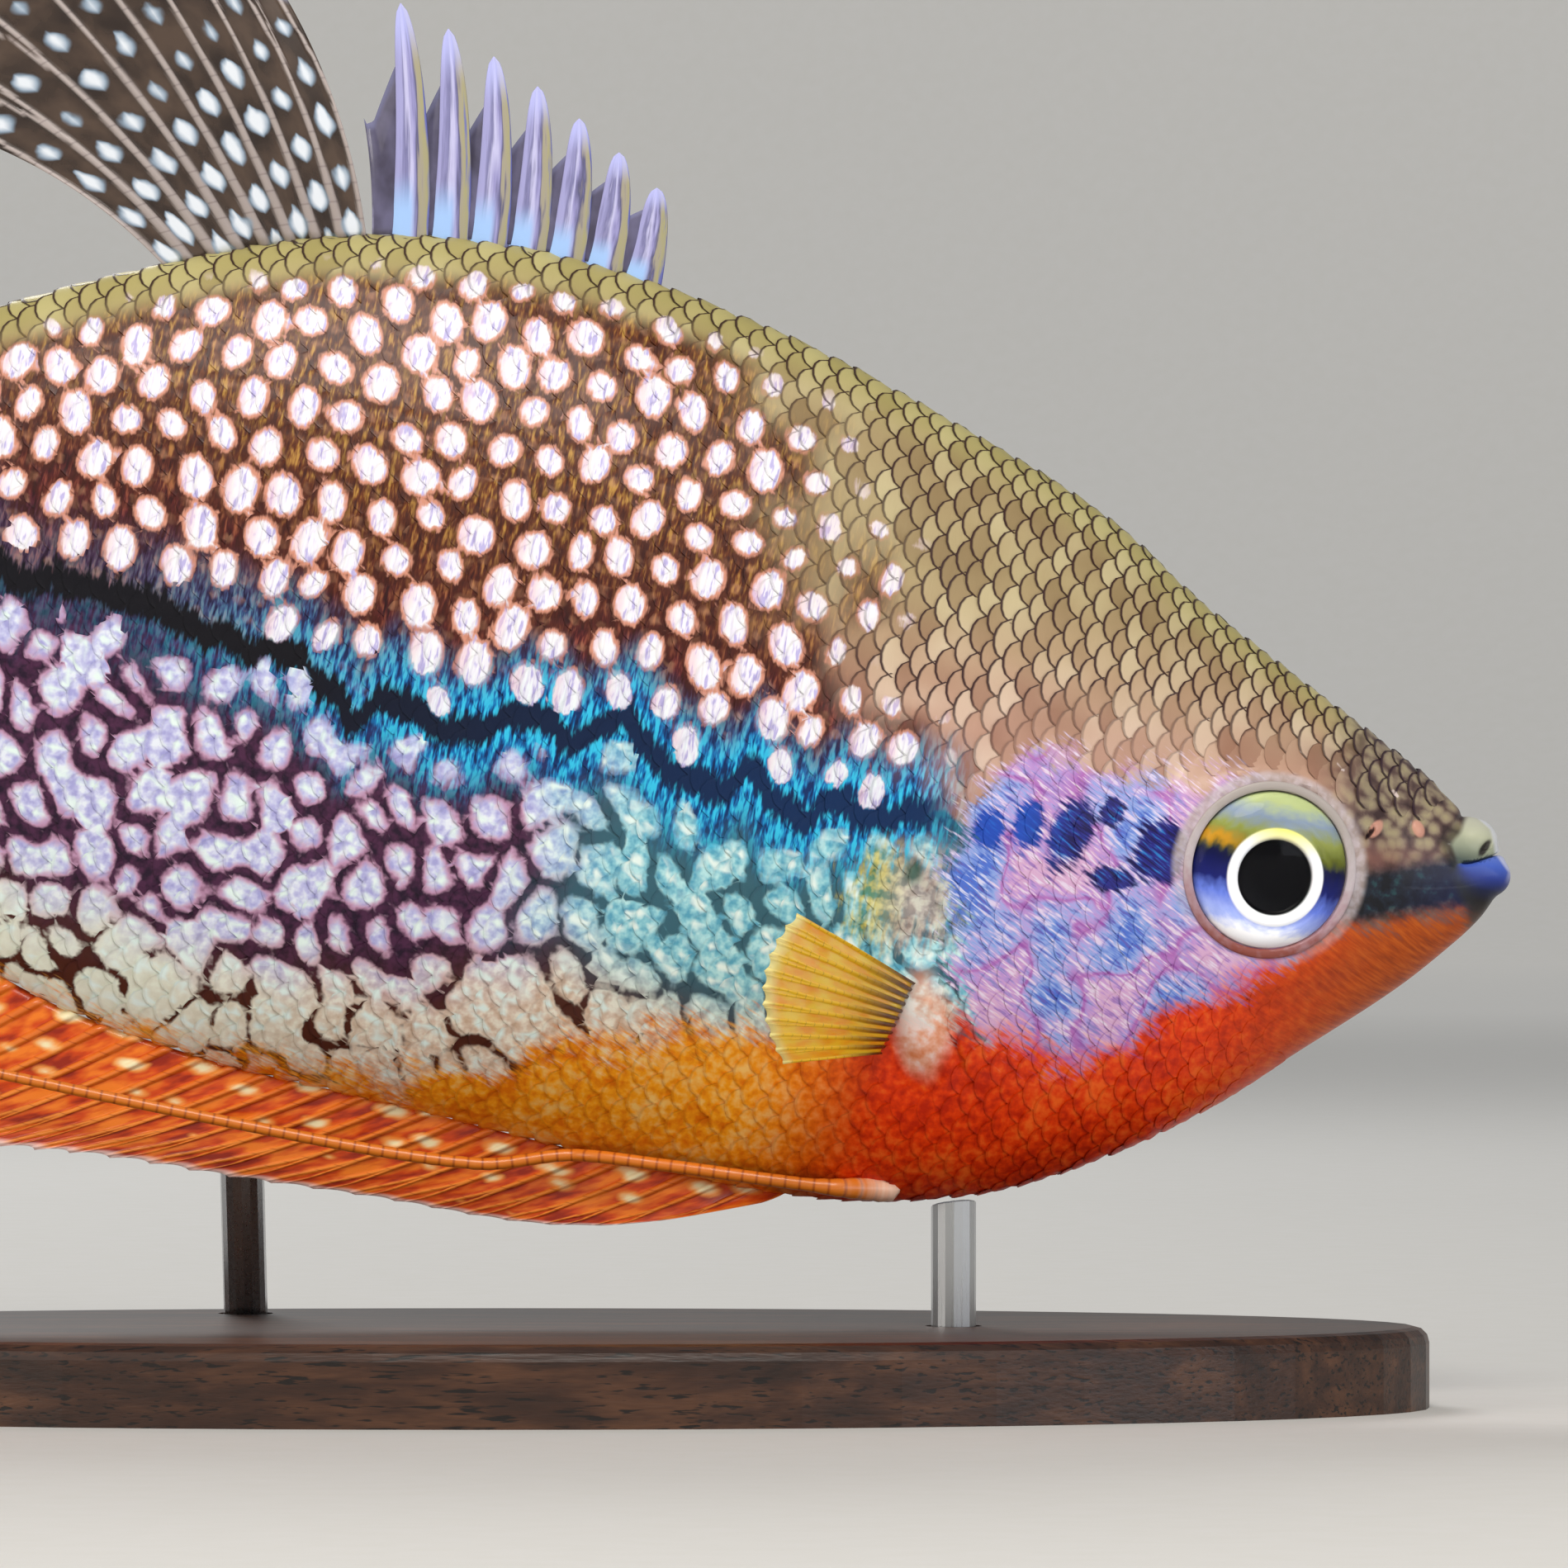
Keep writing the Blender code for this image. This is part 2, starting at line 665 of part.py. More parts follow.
def make_tail_fin(pose, paint):
    lengths = [*TAIL_RAYS, *reversed(TAIL_RAYS)]
    root_top, root_bottom = back(BODY_LENGTH) - 0.3 * MM, belly(BODY_LENGTH) + 0.3 * MM

    def wave(point, share):
        return 1.0 * MM * share**2 * math.sin(point.y / (7.0 * MM) + 0.6)

    columns = []
    for share, on_ray, reach in ribs(len(lengths), 0.97):
        place = share * (len(lengths) - 1)
        length = 0.5 * (lengths[math.floor(place)] + lengths[math.ceil(place)]) * MM * reach
        spread = TAIL_SPREAD * (1 - 2 * share)
        root = (BODY_LENGTH + GAP, between((root_top, root_bottom), share))
        line = ray_line(root, length, (spread, 0.8 * spread), 7, backward)
        columns.append(column_of(line, on_ray, wave, TAIL_ROOT_HALF))
    fin_solid("tail_fin", columns, upright, paint, pose)


def make_pectoral_fin(side, word, pose, paint):
    root, _ = on_body(*PECTORAL_PLACE, side)
    out = Vector(
        (
            -math.cos(PECTORAL_OUT) * math.cos(PECTORAL_UP),
            side * math.sin(PECTORAL_OUT) * math.cos(PECTORAL_UP),
            math.sin(PECTORAL_UP),
        )
    )
    across = (Vector((0, 0, 1)) - out * out.z).normalized()
    flat = side * out.cross(across)

    def place(point, shift):
        return point + flat * shift

    def fan(angle):
        return out * math.cos(angle) + across * math.sin(angle)

    def wave(point, share):
        return -1.2 * MM * ((point - root).length / PECTORAL_LENGTH) ** 2

    columns = []
    for share, on_ray, reach in ribs(PECTORAL_RAYS, 0.97):
        angle = between(PECTORAL_FAN, share)
        length = PECTORAL_LENGTH * (0.56 + 0.44 * math.sin(math.pi * (0.1 + 0.6 * share))) * reach
        h = PECTORAL_PLACE[1] + (share - 0.5) * PECTORAL_ROOT
        s = PECTORAL_PLACE[0] - (share - 0.5) * PECTORAL_ROOT * PECTORAL_ROOT_SLANT
        start, _ = on_body(s, h, side, GAP + 0.1 * MM)
        line = ray_line(start, length, (angle, 1.3 * angle), 6, fan)
        columns.append(column_of(line, on_ray, wave))
    fin_solid("pectoral_fin_" + word, columns, place, paint, pose)


def pelvic_route(side, share):
    """The middle of a feeler: back along the belly, drooping a little and drifting out from the body."""
    s = PELVIC_START + PELVIC_LENGTH * share
    h = smooth_table(PELVIC_COURSE, s / MM) * MM
    out = side_at(s, h) + PELVIC_RADIUS[0] + GAP + 2.6 * MM * share
    return Vector((-s, side * out, h))


def make_pelvic_fin(side, word, pose, paint):
    stations, sides = 26, 8
    root, middle, tip = PELVIC_RADIUS
    points = []
    for i in range(stations):
        share = i / (stations - 1)
        centre = pelvic_route(side, share)
        ahead = (pelvic_route(side, share + 0.01) - pelvic_route(side, share - 0.01)).normalized()
        radius = middle + (tip - middle) * share + (root - middle) * max(0.0, 1 - 14 * share)
        first = ahead.cross(Vector((0, 0, 1))).normalized()
        second = first.cross(ahead)
        for k in range(sides):
            turn = 2 * math.pi * k / sides
            points.append(centre + (first * math.cos(turn) + second * math.sin(turn)) * radius)
    faces = []
    for i in range(stations - 1):
        for k in range(sides):
            a, b = i * sides + k, i * sides + (k + 1) % sides
            faces.append((a, b, b + sides, a + sides))
    faces += [tuple(range(sides)), tuple(range(len(points) - sides, len(points)))]
    feeler = mesh_object("pelvic_fin_" + word, points, faces, paint, pose)
    soften(feeler)


def rod(name, foot, top, paint):
    """A round rod from its socket in the base to inside the fish."""
    way = top - foot
    work = bmesh.new()
    bmesh.ops.create_cone(
        work, cap_ends=True, segments=16, radius1=ROD_RADIUS, radius2=ROD_RADIUS, depth=way.length
    )
    mesh = bpy.data.meshes.new(name)
    work.to_mesh(mesh)
    work.free()
    made = bpy.data.objects.new(name, mesh)
    bpy.context.scene.collection.objects.link(made)
    made.matrix_world = Matrix.Translation((foot + top) / 2) @ way.to_track_quat("Z", "Y").to_matrix().to_4x4()
    mesh.materials.append(paint)
    return made


def make_stand(pose, paints):
    length, width, height = BASE_SIZE
    sides = 56
    work = bmesh.new()
    bmesh.ops.create_cone(work, cap_ends=True, segments=sides, radius1=0.5, radius2=0.5, depth=height)
    stretch = Matrix.Translation((0, 0, height / 2)) @ Matrix.Diagonal((length, width, 1, 1))
    bmesh.ops.transform(work, matrix=stretch, verts=work.verts)
    upper_edges = [e for e in work.edges if all(v.co.z > 0.9 * height for v in e.verts)]
    bmesh.ops.bevel(work, geom=upper_edges, offset=0.8 * MM, segments=3, profile=0.5, affect="EDGES")
    mesh = bpy.data.meshes.new("stand_base")
    work.to_mesh(mesh)
    work.free()
    base = bpy.data.objects.new("stand_base", mesh)
    bpy.context.scene.collection.objects.link(base)
    mesh.materials.append(paints["stand_base"])

    to_world = pose.matrix_world
    s = FRONT_ROD[0]
    front_top = to_world @ Vector((-s, FRONT_ROD[1], belly(s) + 1.5 * MM))
    front_foot = Vector((front_top.x, 0, height - ROD_SOCKET))
    rear_top = to_world @ on_body(*REAR_ROD, 1, -1.0 * MM)[0]
    drop = rear_top.z - (height - ROD_SOCKET)
    rear_foot = Vector((rear_top.x, rear_top.y + drop * math.tan(REAR_ROD_LEAN), height - ROD_SOCKET))
    keep_off = body_loft(
        "keep_off",
        lambda angle: 20.0 * MM,
        lambda angle: 80.0 * MM,
        rings=30,
        sides=40,
    )
    for vertex in keep_off.data.vertices:
        vertex.co += vertex.normal * GAP
    keep_off.matrix_world = to_world.copy()
    holes = []
    for name, foot, top in (("stand_rod_front", front_foot, front_top), ("stand_rod_rear", rear_foot, rear_top)):
        made = rod(name, foot, top, paints["stand_rod"])
        bpy.context.view_layer.update()
        boolean(made, "DIFFERENCE", keep_off)
        soften(made)
        way = (top - foot).normalized()
        hole = rod("hole", foot - way * GAP, foot + way * 8.0 * MM, paints["stand_rod"])
        wider = (ROD_RADIUS + GAP) / ROD_RADIUS
        hole.data.transform(Matrix.Diagonal((wider, wider, 1, 1)))
        holes.append(hole)
    bpy.context.view_layer.update()
    cut(base, holes)
    soften(base)
    remove([*holes, keep_off])


def main():
    clear_scene()
    pose = bpy.data.objects.new("fish_pose", None)
    bpy.context.scene.collection.objects.link(pose)
    pose.location = SNOUT_PLACE
    pose.rotation_euler = (0, NOSE_DOWN, 0)
    bpy.context.view_layer.update()
    paints = {
        "head": material("head", (0.36, 0.28, 0.17), 0.4),
        "jaw": material("jaw", (0.10, 0.15, 0.45), 0.35),
        "gill_cover": material("gill_cover", (0.55, 0.45, 0.75), 0.3),
        "trunk": material("trunk", (0.55, 0.45, 0.42), 0.35),
        "tail_stalk": material("tail_stalk", (0.50, 0.44, 0.46), 0.35),
        "eye": material("eye", (0.05, 0.05, 0.12), 0.1),
        "dorsal_fin": material("dorsal_fin", (0.42, 0.42, 0.60), 0.35),
        "anal_fin": material("anal_fin", (0.75, 0.22, 0.03), 0.35),
        "tail_fin": material("tail_fin", (0.60, 0.45, 0.35), 0.35),
        "pectoral_fin": material("pectoral_fin", (0.78, 0.60, 0.10), 0.3),
        "pelvic_fin": material("pelvic_fin", (0.85, 0.32, 0.03), 0.4),
        "stand_base": material("stand_base", (0.10, 0.06, 0.035), 0.45),
        "stand_rod": material("stand_rod", (0.60, 0.61, 0.62), 0.3, 1.0),
    }
    make_head(pose, paints)
    make_trunk(pose, paints)
    for side, word in ((-1, "right"), (1, "left")):
        make_gill_cover(side, word, pose, paints)
        make_eye(side, word, pose, paints)
        make_pectoral_fin(side, word, pose, paints["pectoral_fin"])
        make_pelvic_fin(side, word, pose, paints["pelvic_fin"])
    make_dorsal_fin(pose, paints["dorsal_fin"])
    make_anal_fin(pose, paints["anal_fin"])
    make_tail_fin(pose, paints["tail_fin"])
    make_stand(pose, paints)


main()
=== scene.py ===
# %% [markdown]
# A pearl gourami on a display stand
#
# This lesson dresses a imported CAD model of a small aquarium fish. The CAD part holds the true sizes. Here the
# fish gets its skin, nearly five thousand scales, eyes, lips and fin rays, and the stand gets its wood and
# steel. Each step first says what the real thing is, and then how the code below makes it.

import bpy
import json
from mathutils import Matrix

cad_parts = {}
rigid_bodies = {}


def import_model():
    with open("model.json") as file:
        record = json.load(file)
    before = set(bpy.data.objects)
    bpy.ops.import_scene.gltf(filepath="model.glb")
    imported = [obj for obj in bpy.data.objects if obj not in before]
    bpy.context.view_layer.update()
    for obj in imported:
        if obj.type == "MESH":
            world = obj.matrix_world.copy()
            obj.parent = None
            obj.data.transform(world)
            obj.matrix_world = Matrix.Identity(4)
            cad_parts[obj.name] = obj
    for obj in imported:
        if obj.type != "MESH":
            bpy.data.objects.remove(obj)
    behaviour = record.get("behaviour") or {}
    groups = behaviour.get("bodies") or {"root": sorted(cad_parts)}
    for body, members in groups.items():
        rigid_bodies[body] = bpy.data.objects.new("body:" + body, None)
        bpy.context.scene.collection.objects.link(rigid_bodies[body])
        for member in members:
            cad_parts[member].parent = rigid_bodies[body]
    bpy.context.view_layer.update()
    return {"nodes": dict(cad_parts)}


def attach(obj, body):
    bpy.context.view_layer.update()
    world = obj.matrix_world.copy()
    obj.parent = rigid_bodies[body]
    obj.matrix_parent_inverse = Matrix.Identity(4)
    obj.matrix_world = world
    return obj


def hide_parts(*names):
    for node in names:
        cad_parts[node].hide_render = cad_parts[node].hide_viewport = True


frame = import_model()
print("CAD nodes:", sorted(frame["nodes"]))

# %% Modules and units
import functools
import json
import math

import bpy
import mathutils
import numpy as np

MM = 0.001
SEED = 11
SIDES = ((-1, "right"), (1, "left"))
print("numbers below are millimetres in the fish's own frame, and MM turns them into metres")

# %% [markdown]
# Where the fish hangs
#
# It is easiest to describe a fish lying straight: s is how far a place is behind the lip, h how high it is
# above the body's axis, and side how far out, with the right side below zero. One turn and one shift then put
# every point where the CAD part has it, nose a little down.

# %% The fish's own frame
NOSE_DOWN = math.radians(11.0)
SNOUT = (50.0, 26.5)


def to_world(places):
    """Turns rows of (s, side, h) in millimetres into points of the frame in metres."""
    s, side, h = np.moveaxis(np.asarray(places, float), -1, 0)
    x = SNOUT[0] - s * math.cos(NOSE_DOWN) + h * math.sin(NOSE_DOWN)
    z = SNOUT[1] + s * math.sin(NOSE_DOWN) + h * math.cos(NOSE_DOWN)
    return np.stack([x, side, z], -1) * MM


def unit(ways):
    """Each way made one long."""
    return ways / np.linalg.norm(ways, axis=-1, keepdims=True)


def circle(count):
    """The angles of points spread evenly round a circle."""
    return 2 * math.pi * np.arange(count) / count


print("the lip is at", to_world((0.0, 0.0, 0.0)))

# %% [markdown]
# The body's form
#
# A boat builder draws a hull by its stations, and the same works for a fish. Each row gives the height of the
# back, the belly, the half width and the level where the body is widest. A smooth curve runs through each
# column.

# %% Stations of the body
STATIONS = np.array(
    (
        (0.3, 0.3, -1.3, 0.8, -0.5), (1.0, 1.2, -2.9, 1.5, -0.9), (2.2, 2.0, -4.6, 2.1, -1.4),
        (4.4, 3.45, -7.2, 2.95, -1.9), (8.0, 5.3, -10.7, 4.1, -2.3), (12.0, 7.25, -14.4, 5.1, -2.8),
        (17.0, 9.8, -18.0, 6.0, -3.6), (22.5, 13.1, -20.8, 6.7, -4.3), (30.0, 16.0, -22.5, 7.2, -5.0),
        (40.0, 19.0, -22.6, 7.3, -5.2), (52.0, 20.7, -22.0, 6.8, -4.4), (62.0, 19.6, -21.5, 5.9, -3.2),
        (72.0, 15.9, -19.4, 4.7, -2.0), (82.0, 11.0, -13.7, 3.4, -1.2), (90.0, 7.3, -8.2, 2.4, -0.6),
        (95.0, 6.4, -6.6, 1.3, -0.2),
    ),
)
BACK, BELLY, HALF_WIDTH, WIDEST = 1, 2, 3, 4
RIDGE_SHARPNESS = ((0, 20, 50, 95), (0.95, 1.05, 1.25, 1.1))
KEEL_SHARPNESS = ((0, 25, 38, 80, 95), (0.9, 0.95, 1.3, 1.35, 1.1))


def smooth_table(rows, at, column=1):
    """The value of one column at each place, on a smooth curve through the table's rows."""
    rows = np.asarray(rows, float)
    x, y = rows[:, 0], rows[:, column]
    last = len(x) - 1
    before, after = np.maximum(np.arange(last + 1) - 1, 0), np.minimum(np.arange(last + 1) + 1, last)
    slope = (y[after] - y[before]) / (x[after] - x[before])
    at = np.clip(at, x[0], x[-1])
    i = np.clip(np.searchsorted(x[1:], at), 0, last - 1)
    width = x[i + 1] - x[i]
    t = (at - x[i]) / width
    ends = (2 * t**3 - 3 * t**2 + 1) * y[i] + (3 * t**2 - 2 * t**3) * y[i + 1]
    return ends + width * ((t**3 - 2 * t**2 + t) * slope[i] + (t**3 - t**2) * slope[i + 1])


def body(column, s):
    return smooth_table(STATIONS, s, column)


def half_section(s, middle, over):
    """How far the upper or lower half of a section reaches from its widest level, and how sharp it is."""
    reach = np.where(over, body(BACK, s) - middle, middle - body(BELLY, s))
    return reach, np.where(over, np.interp(s, *RIDGE_SHARPNESS), np.interp(s, *KEEL_SHARPNESS))


def section_point(s, angle):
    """Height and side of the skin at an angle round the body: 0 is the side, a quarter turn the back."""
    middle, up, across = body(WIDEST, s), np.sin(angle), np.cos(angle)
    reach, sharpness = half_section(s, middle, up > 0)
    side = np.sign(across) * body(HALF_WIDTH, s) * np.abs(across) ** sharpness
    return middle + reach * up, side


print("deepest body:", round(float((body(BACK, 45.0) - body(BELLY, 45.0))), 1), "mm")

# %% [markdown]
# Unrolling the skin
#
# Scales and markings follow the skin, not the side view. So each place on the skin also gets a girth: how far
# it is round the body from the line where the dark stripe runs. A table of the girth, made once, turns (s,
# girth) into a point and back. It goes on over the ridge of the back to the other side, so a scale can wrap
# round it.

# %% Girth tables
STRIPE_LEVEL = -2.2
S_STEP, GIRTH_STEP, GIRTH_REACH = 0.3, 0.2, 34.0
table_s = np.arange(STATIONS[0, 0], STATIONS[-1, 0] + S_STEP, S_STEP)
table_angle = np.linspace(-math.pi / 2, math.pi / 2, 241)
table_girth = np.arange(-GIRTH_REACH, GIRTH_REACH + GIRTH_STEP, GIRTH_STEP)
height, out = section_point(*np.meshgrid(table_s, table_angle, indexing="ij"))
steps = np.hypot(np.diff(height, axis=1), np.diff(out, axis=1))
girth_at_angle = np.concatenate([np.zeros((len(table_s), 1)), np.cumsum(steps, axis=1)], axis=1)
for row, level in zip(girth_at_angle, height):
    row -= np.interp(STRIPE_LEVEL, level, row)
height_at_girth, out_at_girth = np.empty((2, len(table_s), len(table_girth)))
for i, row in enumerate(girth_at_angle):
    over, under = table_girth > row[-1], table_girth < row[0]
    folded = np.where(over, 2 * row[-1] - table_girth, np.where(under, 2 * row[0] - table_girth, table_girth))
    height_at_girth[i] = np.interp(folded, row, height[i])
    out_at_girth[i] = np.interp(folded, row, out[i]) * np.where(over | under, -1, 1)


def look_up(table, rows, columns, row_values, column_values):
    """Reads a table between its entries."""
    r = np.clip((rows - row_values[0]) / (row_values[1] - row_values[0]), 0, len(row_values) - 1.001)
    c = np.clip(
        (columns - column_values[0]) / (column_values[1] - column_values[0]), 0, len(column_values) - 1.001
    )
    i, j = r.astype(int), c.astype(int)
    a, b = r - i, c - j
    low = table[i, j] * (1 - b) + table[i, j + 1] * b
    return low * (1 - a) + (table[i + 1, j] * (1 - b) + table[i + 1, j + 1] * b) * a


def skin_point(s, girth, side):
    """The place (s, side, h) of a point of the smooth body, by its girth."""
    h = look_up(height_at_girth, s, girth, table_s, table_girth)
    out = look_up(out_at_girth, s, girth, table_s, table_girth)
    return np.stack([s, side * out, h], -1)


def girth_of(s, h):
    """The girth of a place in the side view."""
    middle = body(WIDEST, s)
    reach, _ = half_section(s, middle, h > middle)
    angle = np.arcsin(np.clip((h - middle) / reach, -1, 1))
    return look_up(girth_at_angle, s, angle, table_s, table_angle)


def side_at(s, h):
    """How far out the smooth body is at a height on its side."""
    return skin_point(s, girth_of(np.asarray(s, float), np.asarray(h, float)), 1)[..., 1]


def skin_normal(s, h, side):
    """Where the side of the body is, and the way straight out of it."""
    step = 0.4
    slope_s = (side_at(s + step, h) - side_at(s - step, h)) / (2 * step)
    slope_h = (side_at(s, h + step) - side_at(s, h - step)) / (2 * step)
    normal = np.stack([-slope_s, side + 0 * slope_s, -slope_h], -1)
    return np.stack([s, side * side_at(s, h), h], -1), unit(normal)


ridge_girth, keel_girth = girth_at_angle[:, -1], girth_at_angle[:, 0]
print("half the girth at the deepest place:", round(float(np.max(ridge_girth - keel_girth)), 1), "mm")

# %% [markdown]
# Making meshes
#
# Large meshes are quickest to make from whole arrays. Each point also carries notes for the materials: its
# place on the unrolled skin, how far it is from the borders of the markings, and how far from the edge of its
# scale.

# %% Functions that make meshes


def make_piece(name, places, faces, material, replaced=(), notes=None, sharp=None, unwrap=None):
    """A mesh from (s, side, h) places and arrays of faces, turned to face out, riding on the root body."""
    points = to_world(places)
    triangles = np.concatenate(
        [np.concatenate([f[:, [0, k, k + 1]] for k in range(1, f.shape[1] - 1)]) for f in faces]
    )
    corners = points[triangles]
    volume = np.einsum("ij,ij->", corners[:, 0], np.cross(corners[:, 1], corners[:, 2]))
    if volume < 0:
        faces = [f[:, ::-1] for f in faces]
    mesh = bpy.data.meshes.new(name)
    mesh.vertices.add(len(points))
    mesh.vertices.foreach_set("co", points.astype(np.float32).ravel())
    sizes = np.concatenate([np.full(len(f), f.shape[1]) for f in faces])
    mesh.loops.add(int(sizes.sum()))
    mesh.loops.foreach_set("vertex_index", np.concatenate([f.ravel() for f in faces]).astype(np.int32))
    mesh.polygons.add(len(sizes))
    mesh.polygons.foreach_set("loop_start", (np.cumsum(sizes) - sizes).astype(np.int32))
    mesh.update(calc_edges=True)
    for note, values in (notes or {}).items():
        values = np.asarray(values, np.float32)
        kind, field = ("FLOAT", "value") if values.ndim == 1 else ("FLOAT_VECTOR", "vector")
        mesh.attributes.new(note, kind, "POINT").data.foreach_set(field, values.ravel())
    if unwrap is not None:
        corner_points = np.concatenate([f.ravel() for f in faces])
        mesh.uv_layers.new(name="OFBake").data.foreach_set(
            "uv", unwrap[corner_points].astype(np.float32).ravel()
        )
    mesh.shade_smooth()
    if sharp:
        mesh.set_sharp_from_angle(angle=math.radians(sharp))
    mesh.materials.append(material)
    piece = bpy.data.objects.new(name, mesh)
    bpy.context.scene.collection.objects.link(piece)
    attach(piece, "root")
    if replaced:
        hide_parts(*replaced)
    print(name, len(triangles), "triangles")
    return piece


def grid_faces(rows, columns, closed=False):
    """Quads of a grid of points laid row by row. A closed grid joins its last column to its first."""
    i, j = np.meshgrid(np.arange(rows - 1), np.arange(columns if closed else columns - 1), indexing="ij")
    following = (j + 1) % columns
    corners = (i * columns + j, i * columns + following, (i + 1) * columns + following, (i + 1) * columns + j)
    return np.stack(corners, -1).reshape(-1, 4)


def grid_rim(rows, columns):
    """The numbers of a grid's outer points, once round it."""
    last_row = (rows - 1) * columns
    right = np.arange(2 * columns - 1, rows * columns, columns)
    left = np.arange(last_row - columns, 0, -columns)
    return np.concatenate([np.arange(columns), right, np.arange(rows * columns - 2, last_row - 1, -1), left])


print("a grid of 3 by 4 points has", len(grid_faces(3, 4)), "quads")

# %% [markdown]
# Camera
#
# The picture was taken square to the fish's right side. A long lens far away keeps the perspective as flat as
# in a close photograph of a small animal. The frame is 76.9 mm wide where the fish is.

# %% Camera
FRAME_WIDTH, AIM, CAMERA_DISTANCE, SENSOR = 76.9, (14.35, 30.57), 600.0, 36.0
camera_data = bpy.data.cameras.new("camera")
camera_data.sensor_width = SENSOR
camera_data.lens = SENSOR * CAMERA_DISTANCE / FRAME_WIDTH
camera_data.clip_start, camera_data.clip_end = 10 * MM, 10.0
camera = bpy.data.objects.new("camera", camera_data)
camera.location = (AIM[0] * MM, -CAMERA_DISTANCE * MM, AIM[1] * MM)
camera.rotation_euler = (math.pi / 2, 0, 0)
bpy.context.scene.collection.objects.link(camera)
bpy.context.scene.camera = camera
print("lens", round(camera_data.lens), "mm")

# %% [markdown]
# Colours and nodes
#
# Colours are noted as the hex values that a paint program shows, and one function turns them into the linear
# numbers that Blender mixes. One more function adds any node, sets it and links it, so a material reads as a
# list. Each material's add puts nodes in its own tree.

# %% Colour and node functions
SMOOTH, STRAIGHT = {"interpolation_type": "SMOOTHSTEP"}, {}


def linear(code):
    """An sRGB hex colour as linear RGBA."""
    parts = [int(code[k : k + 2], 16) / 255 for k in (1, 3, 5)]
    return (*[c / 12.92 if c <= 0.04045 else ((c + 0.055) / 1.055) ** 2.4 for c in parts], 1.0)


def fill(node, inputs):
    """Sets or links a node's sockets, by name or number. A text is a hex colour."""
    for key, value in inputs.items() if isinstance(inputs, dict) else enumerate(inputs):
        if isinstance(value, bpy.types.NodeSocket):
            node.id_data.links.new(value, node.inputs[key])
        else:
            node.inputs[key].default_value = linear(value) if isinstance(value, str) else value


def add_node(tree, kind, inputs=(), out=0, stops=(), **settings):
    """Adds a shader node, sets it, fills its sockets and gives back one of its outputs.

    A MapRange lists a value, from and to, and then what it gives there. A Mix lays 7 over 6 by the share 0.
    """
    made = tree.nodes.new("ShaderNode" + kind)
    for name, value in settings.items():
        setattr(made, name, value)
    fill(made, inputs)
    for k, (position, colour) in enumerate(stops):
        elements = made.color_ramp.elements
        element = elements[k] if k < 2 else elements.new(position)
        element.position, element.color = position, linear(colour)
    return made.outputs[out]


def laid(under, colour, *shares):
    """Lays a colour over another, by the product of its shares."""
    share = shares[0]
    for factor in shares[1:]:
        share = add_node(share.id_data, "Math", [share, factor], operation="MULTIPLY")
    return add_node(share.id_data, "Mix", {0: share, 6: under, 7: colour}, out=2, data_type="RGBA")


def tinted(under, colour, field, start, full, most=1.0, how=SMOOTH):
    """Lays a colour over another where a field goes from start to full, up to a share of most."""
    return laid(under, colour, add_node(field.id_data, "MapRange", [field, start, full, 0.0, most], **how))


def noted(add, name):
    """A note that the points carry, and its three values."""
    note = add("Attribute", out="Vector", attribute_name=name)
    return note, *add("SeparateXYZ", [note]).node.outputs


def new_material(name):
    """An empty node material, its Principled shader, and the function that adds nodes to it."""
    material = bpy.data.materials.new(name)
    material.use_nodes = True
    tree = material.node_tree
    return material, tree.nodes["Principled BSDF"], functools.partial(add_node, tree)


print("olive skin in linear colour:", [round(c, 3) for c in linear("#b8a060")])

# %% [markdown]
# Markings
#
# A male in breeding colours has a few clear zones: an orange breast, a dark stripe from eye to tail, a plain
# nape, round pearls above the stripe and lilac blots below it. Short lines of (s, h) give the borders. Each
# point of the fish notes how far it is from every border, pearl and blot, and skin and scales share one
# material that turns these distances into paint. A distance blends evenly between two points, so an edge
# drawn from it stays sharp.

# %% Zones
ORANGE_BORDER = (
    (0, 3, 6.7, 9.9, 14, 19, 22, 25, 28, 31, 36, 42, 47, 52, 60, 75, 95),
    (
        -1.6, -2.6, -4.0, -6.2, -9.3, -13.4, -13.0, -12.4, -12.8, -14.2, -14.9, -16.6, -18.8, -20.6, -21.2,
        -19.5, -9.0,
    ),
)
STRIPE_LINE = (
    (14, 26.7, 36.5, 44.6, 50.2, 57, 61.5, 72.3, 82, 92),
    (-2.6, -2.5, -3.4, -1.7, -2.7, -3.3, -1.7, 0.8, 0.5, 0.0),
)
EYE_PLACE = (11.8, -2.4)
HEAD_END, HEAD_END_LEVEL, HEAD_END_CURVE = 27.4, -4.5, 7.6 / 16.5**2
CHEEK_TOP = ((11, 14, 17, 21, 25, 28), (0.6, 1.4, 1.6, 1.3, 0.9, -1.2))
BLOTCHES = (
    (25.6, -2.9, 0.8, 1.1), (23.8, -2.4, 0.9, 1.5), (21.7, -2.4, 1.1, 1.9), (19.9, -1.2, 0.6, 0.8),
    (17.4, -2.5, 1.2, 1.5), (19.4, -4.3, 1.2, 0.6),
)
NOSTRILS = ((7.05, 0.55, 0.3, 0.52, 0.5), (4.95, 0.96, 0.3, 0.46, -0.6))
NOSTRIL_SLIT = (7.3, 0.28, 0.13, 0.42, 0.5)
PORES = ((11.4, 3.3, 0.16, 0.3, -0.8), (9.3, 3.2, 0.14, 0.3, -0.8), (6.35, 2.45, 0.13, 0.26, -0.9))
PEARLS_START = ((-4, -2, 1, 4, 7, 12, 16, 20), (29.0, 27.5, 28.5, 31.5, 31.5, 33.5, 36.5, 42.0))
MOUTH_LINE = ((-0.5, 0.77, 1.9, 3.0), (0.6, 0.5, -0.12, -0.45))
MOUTH_SLOT = (1.5, 0.66, 0.2, 0.5, 0.45)
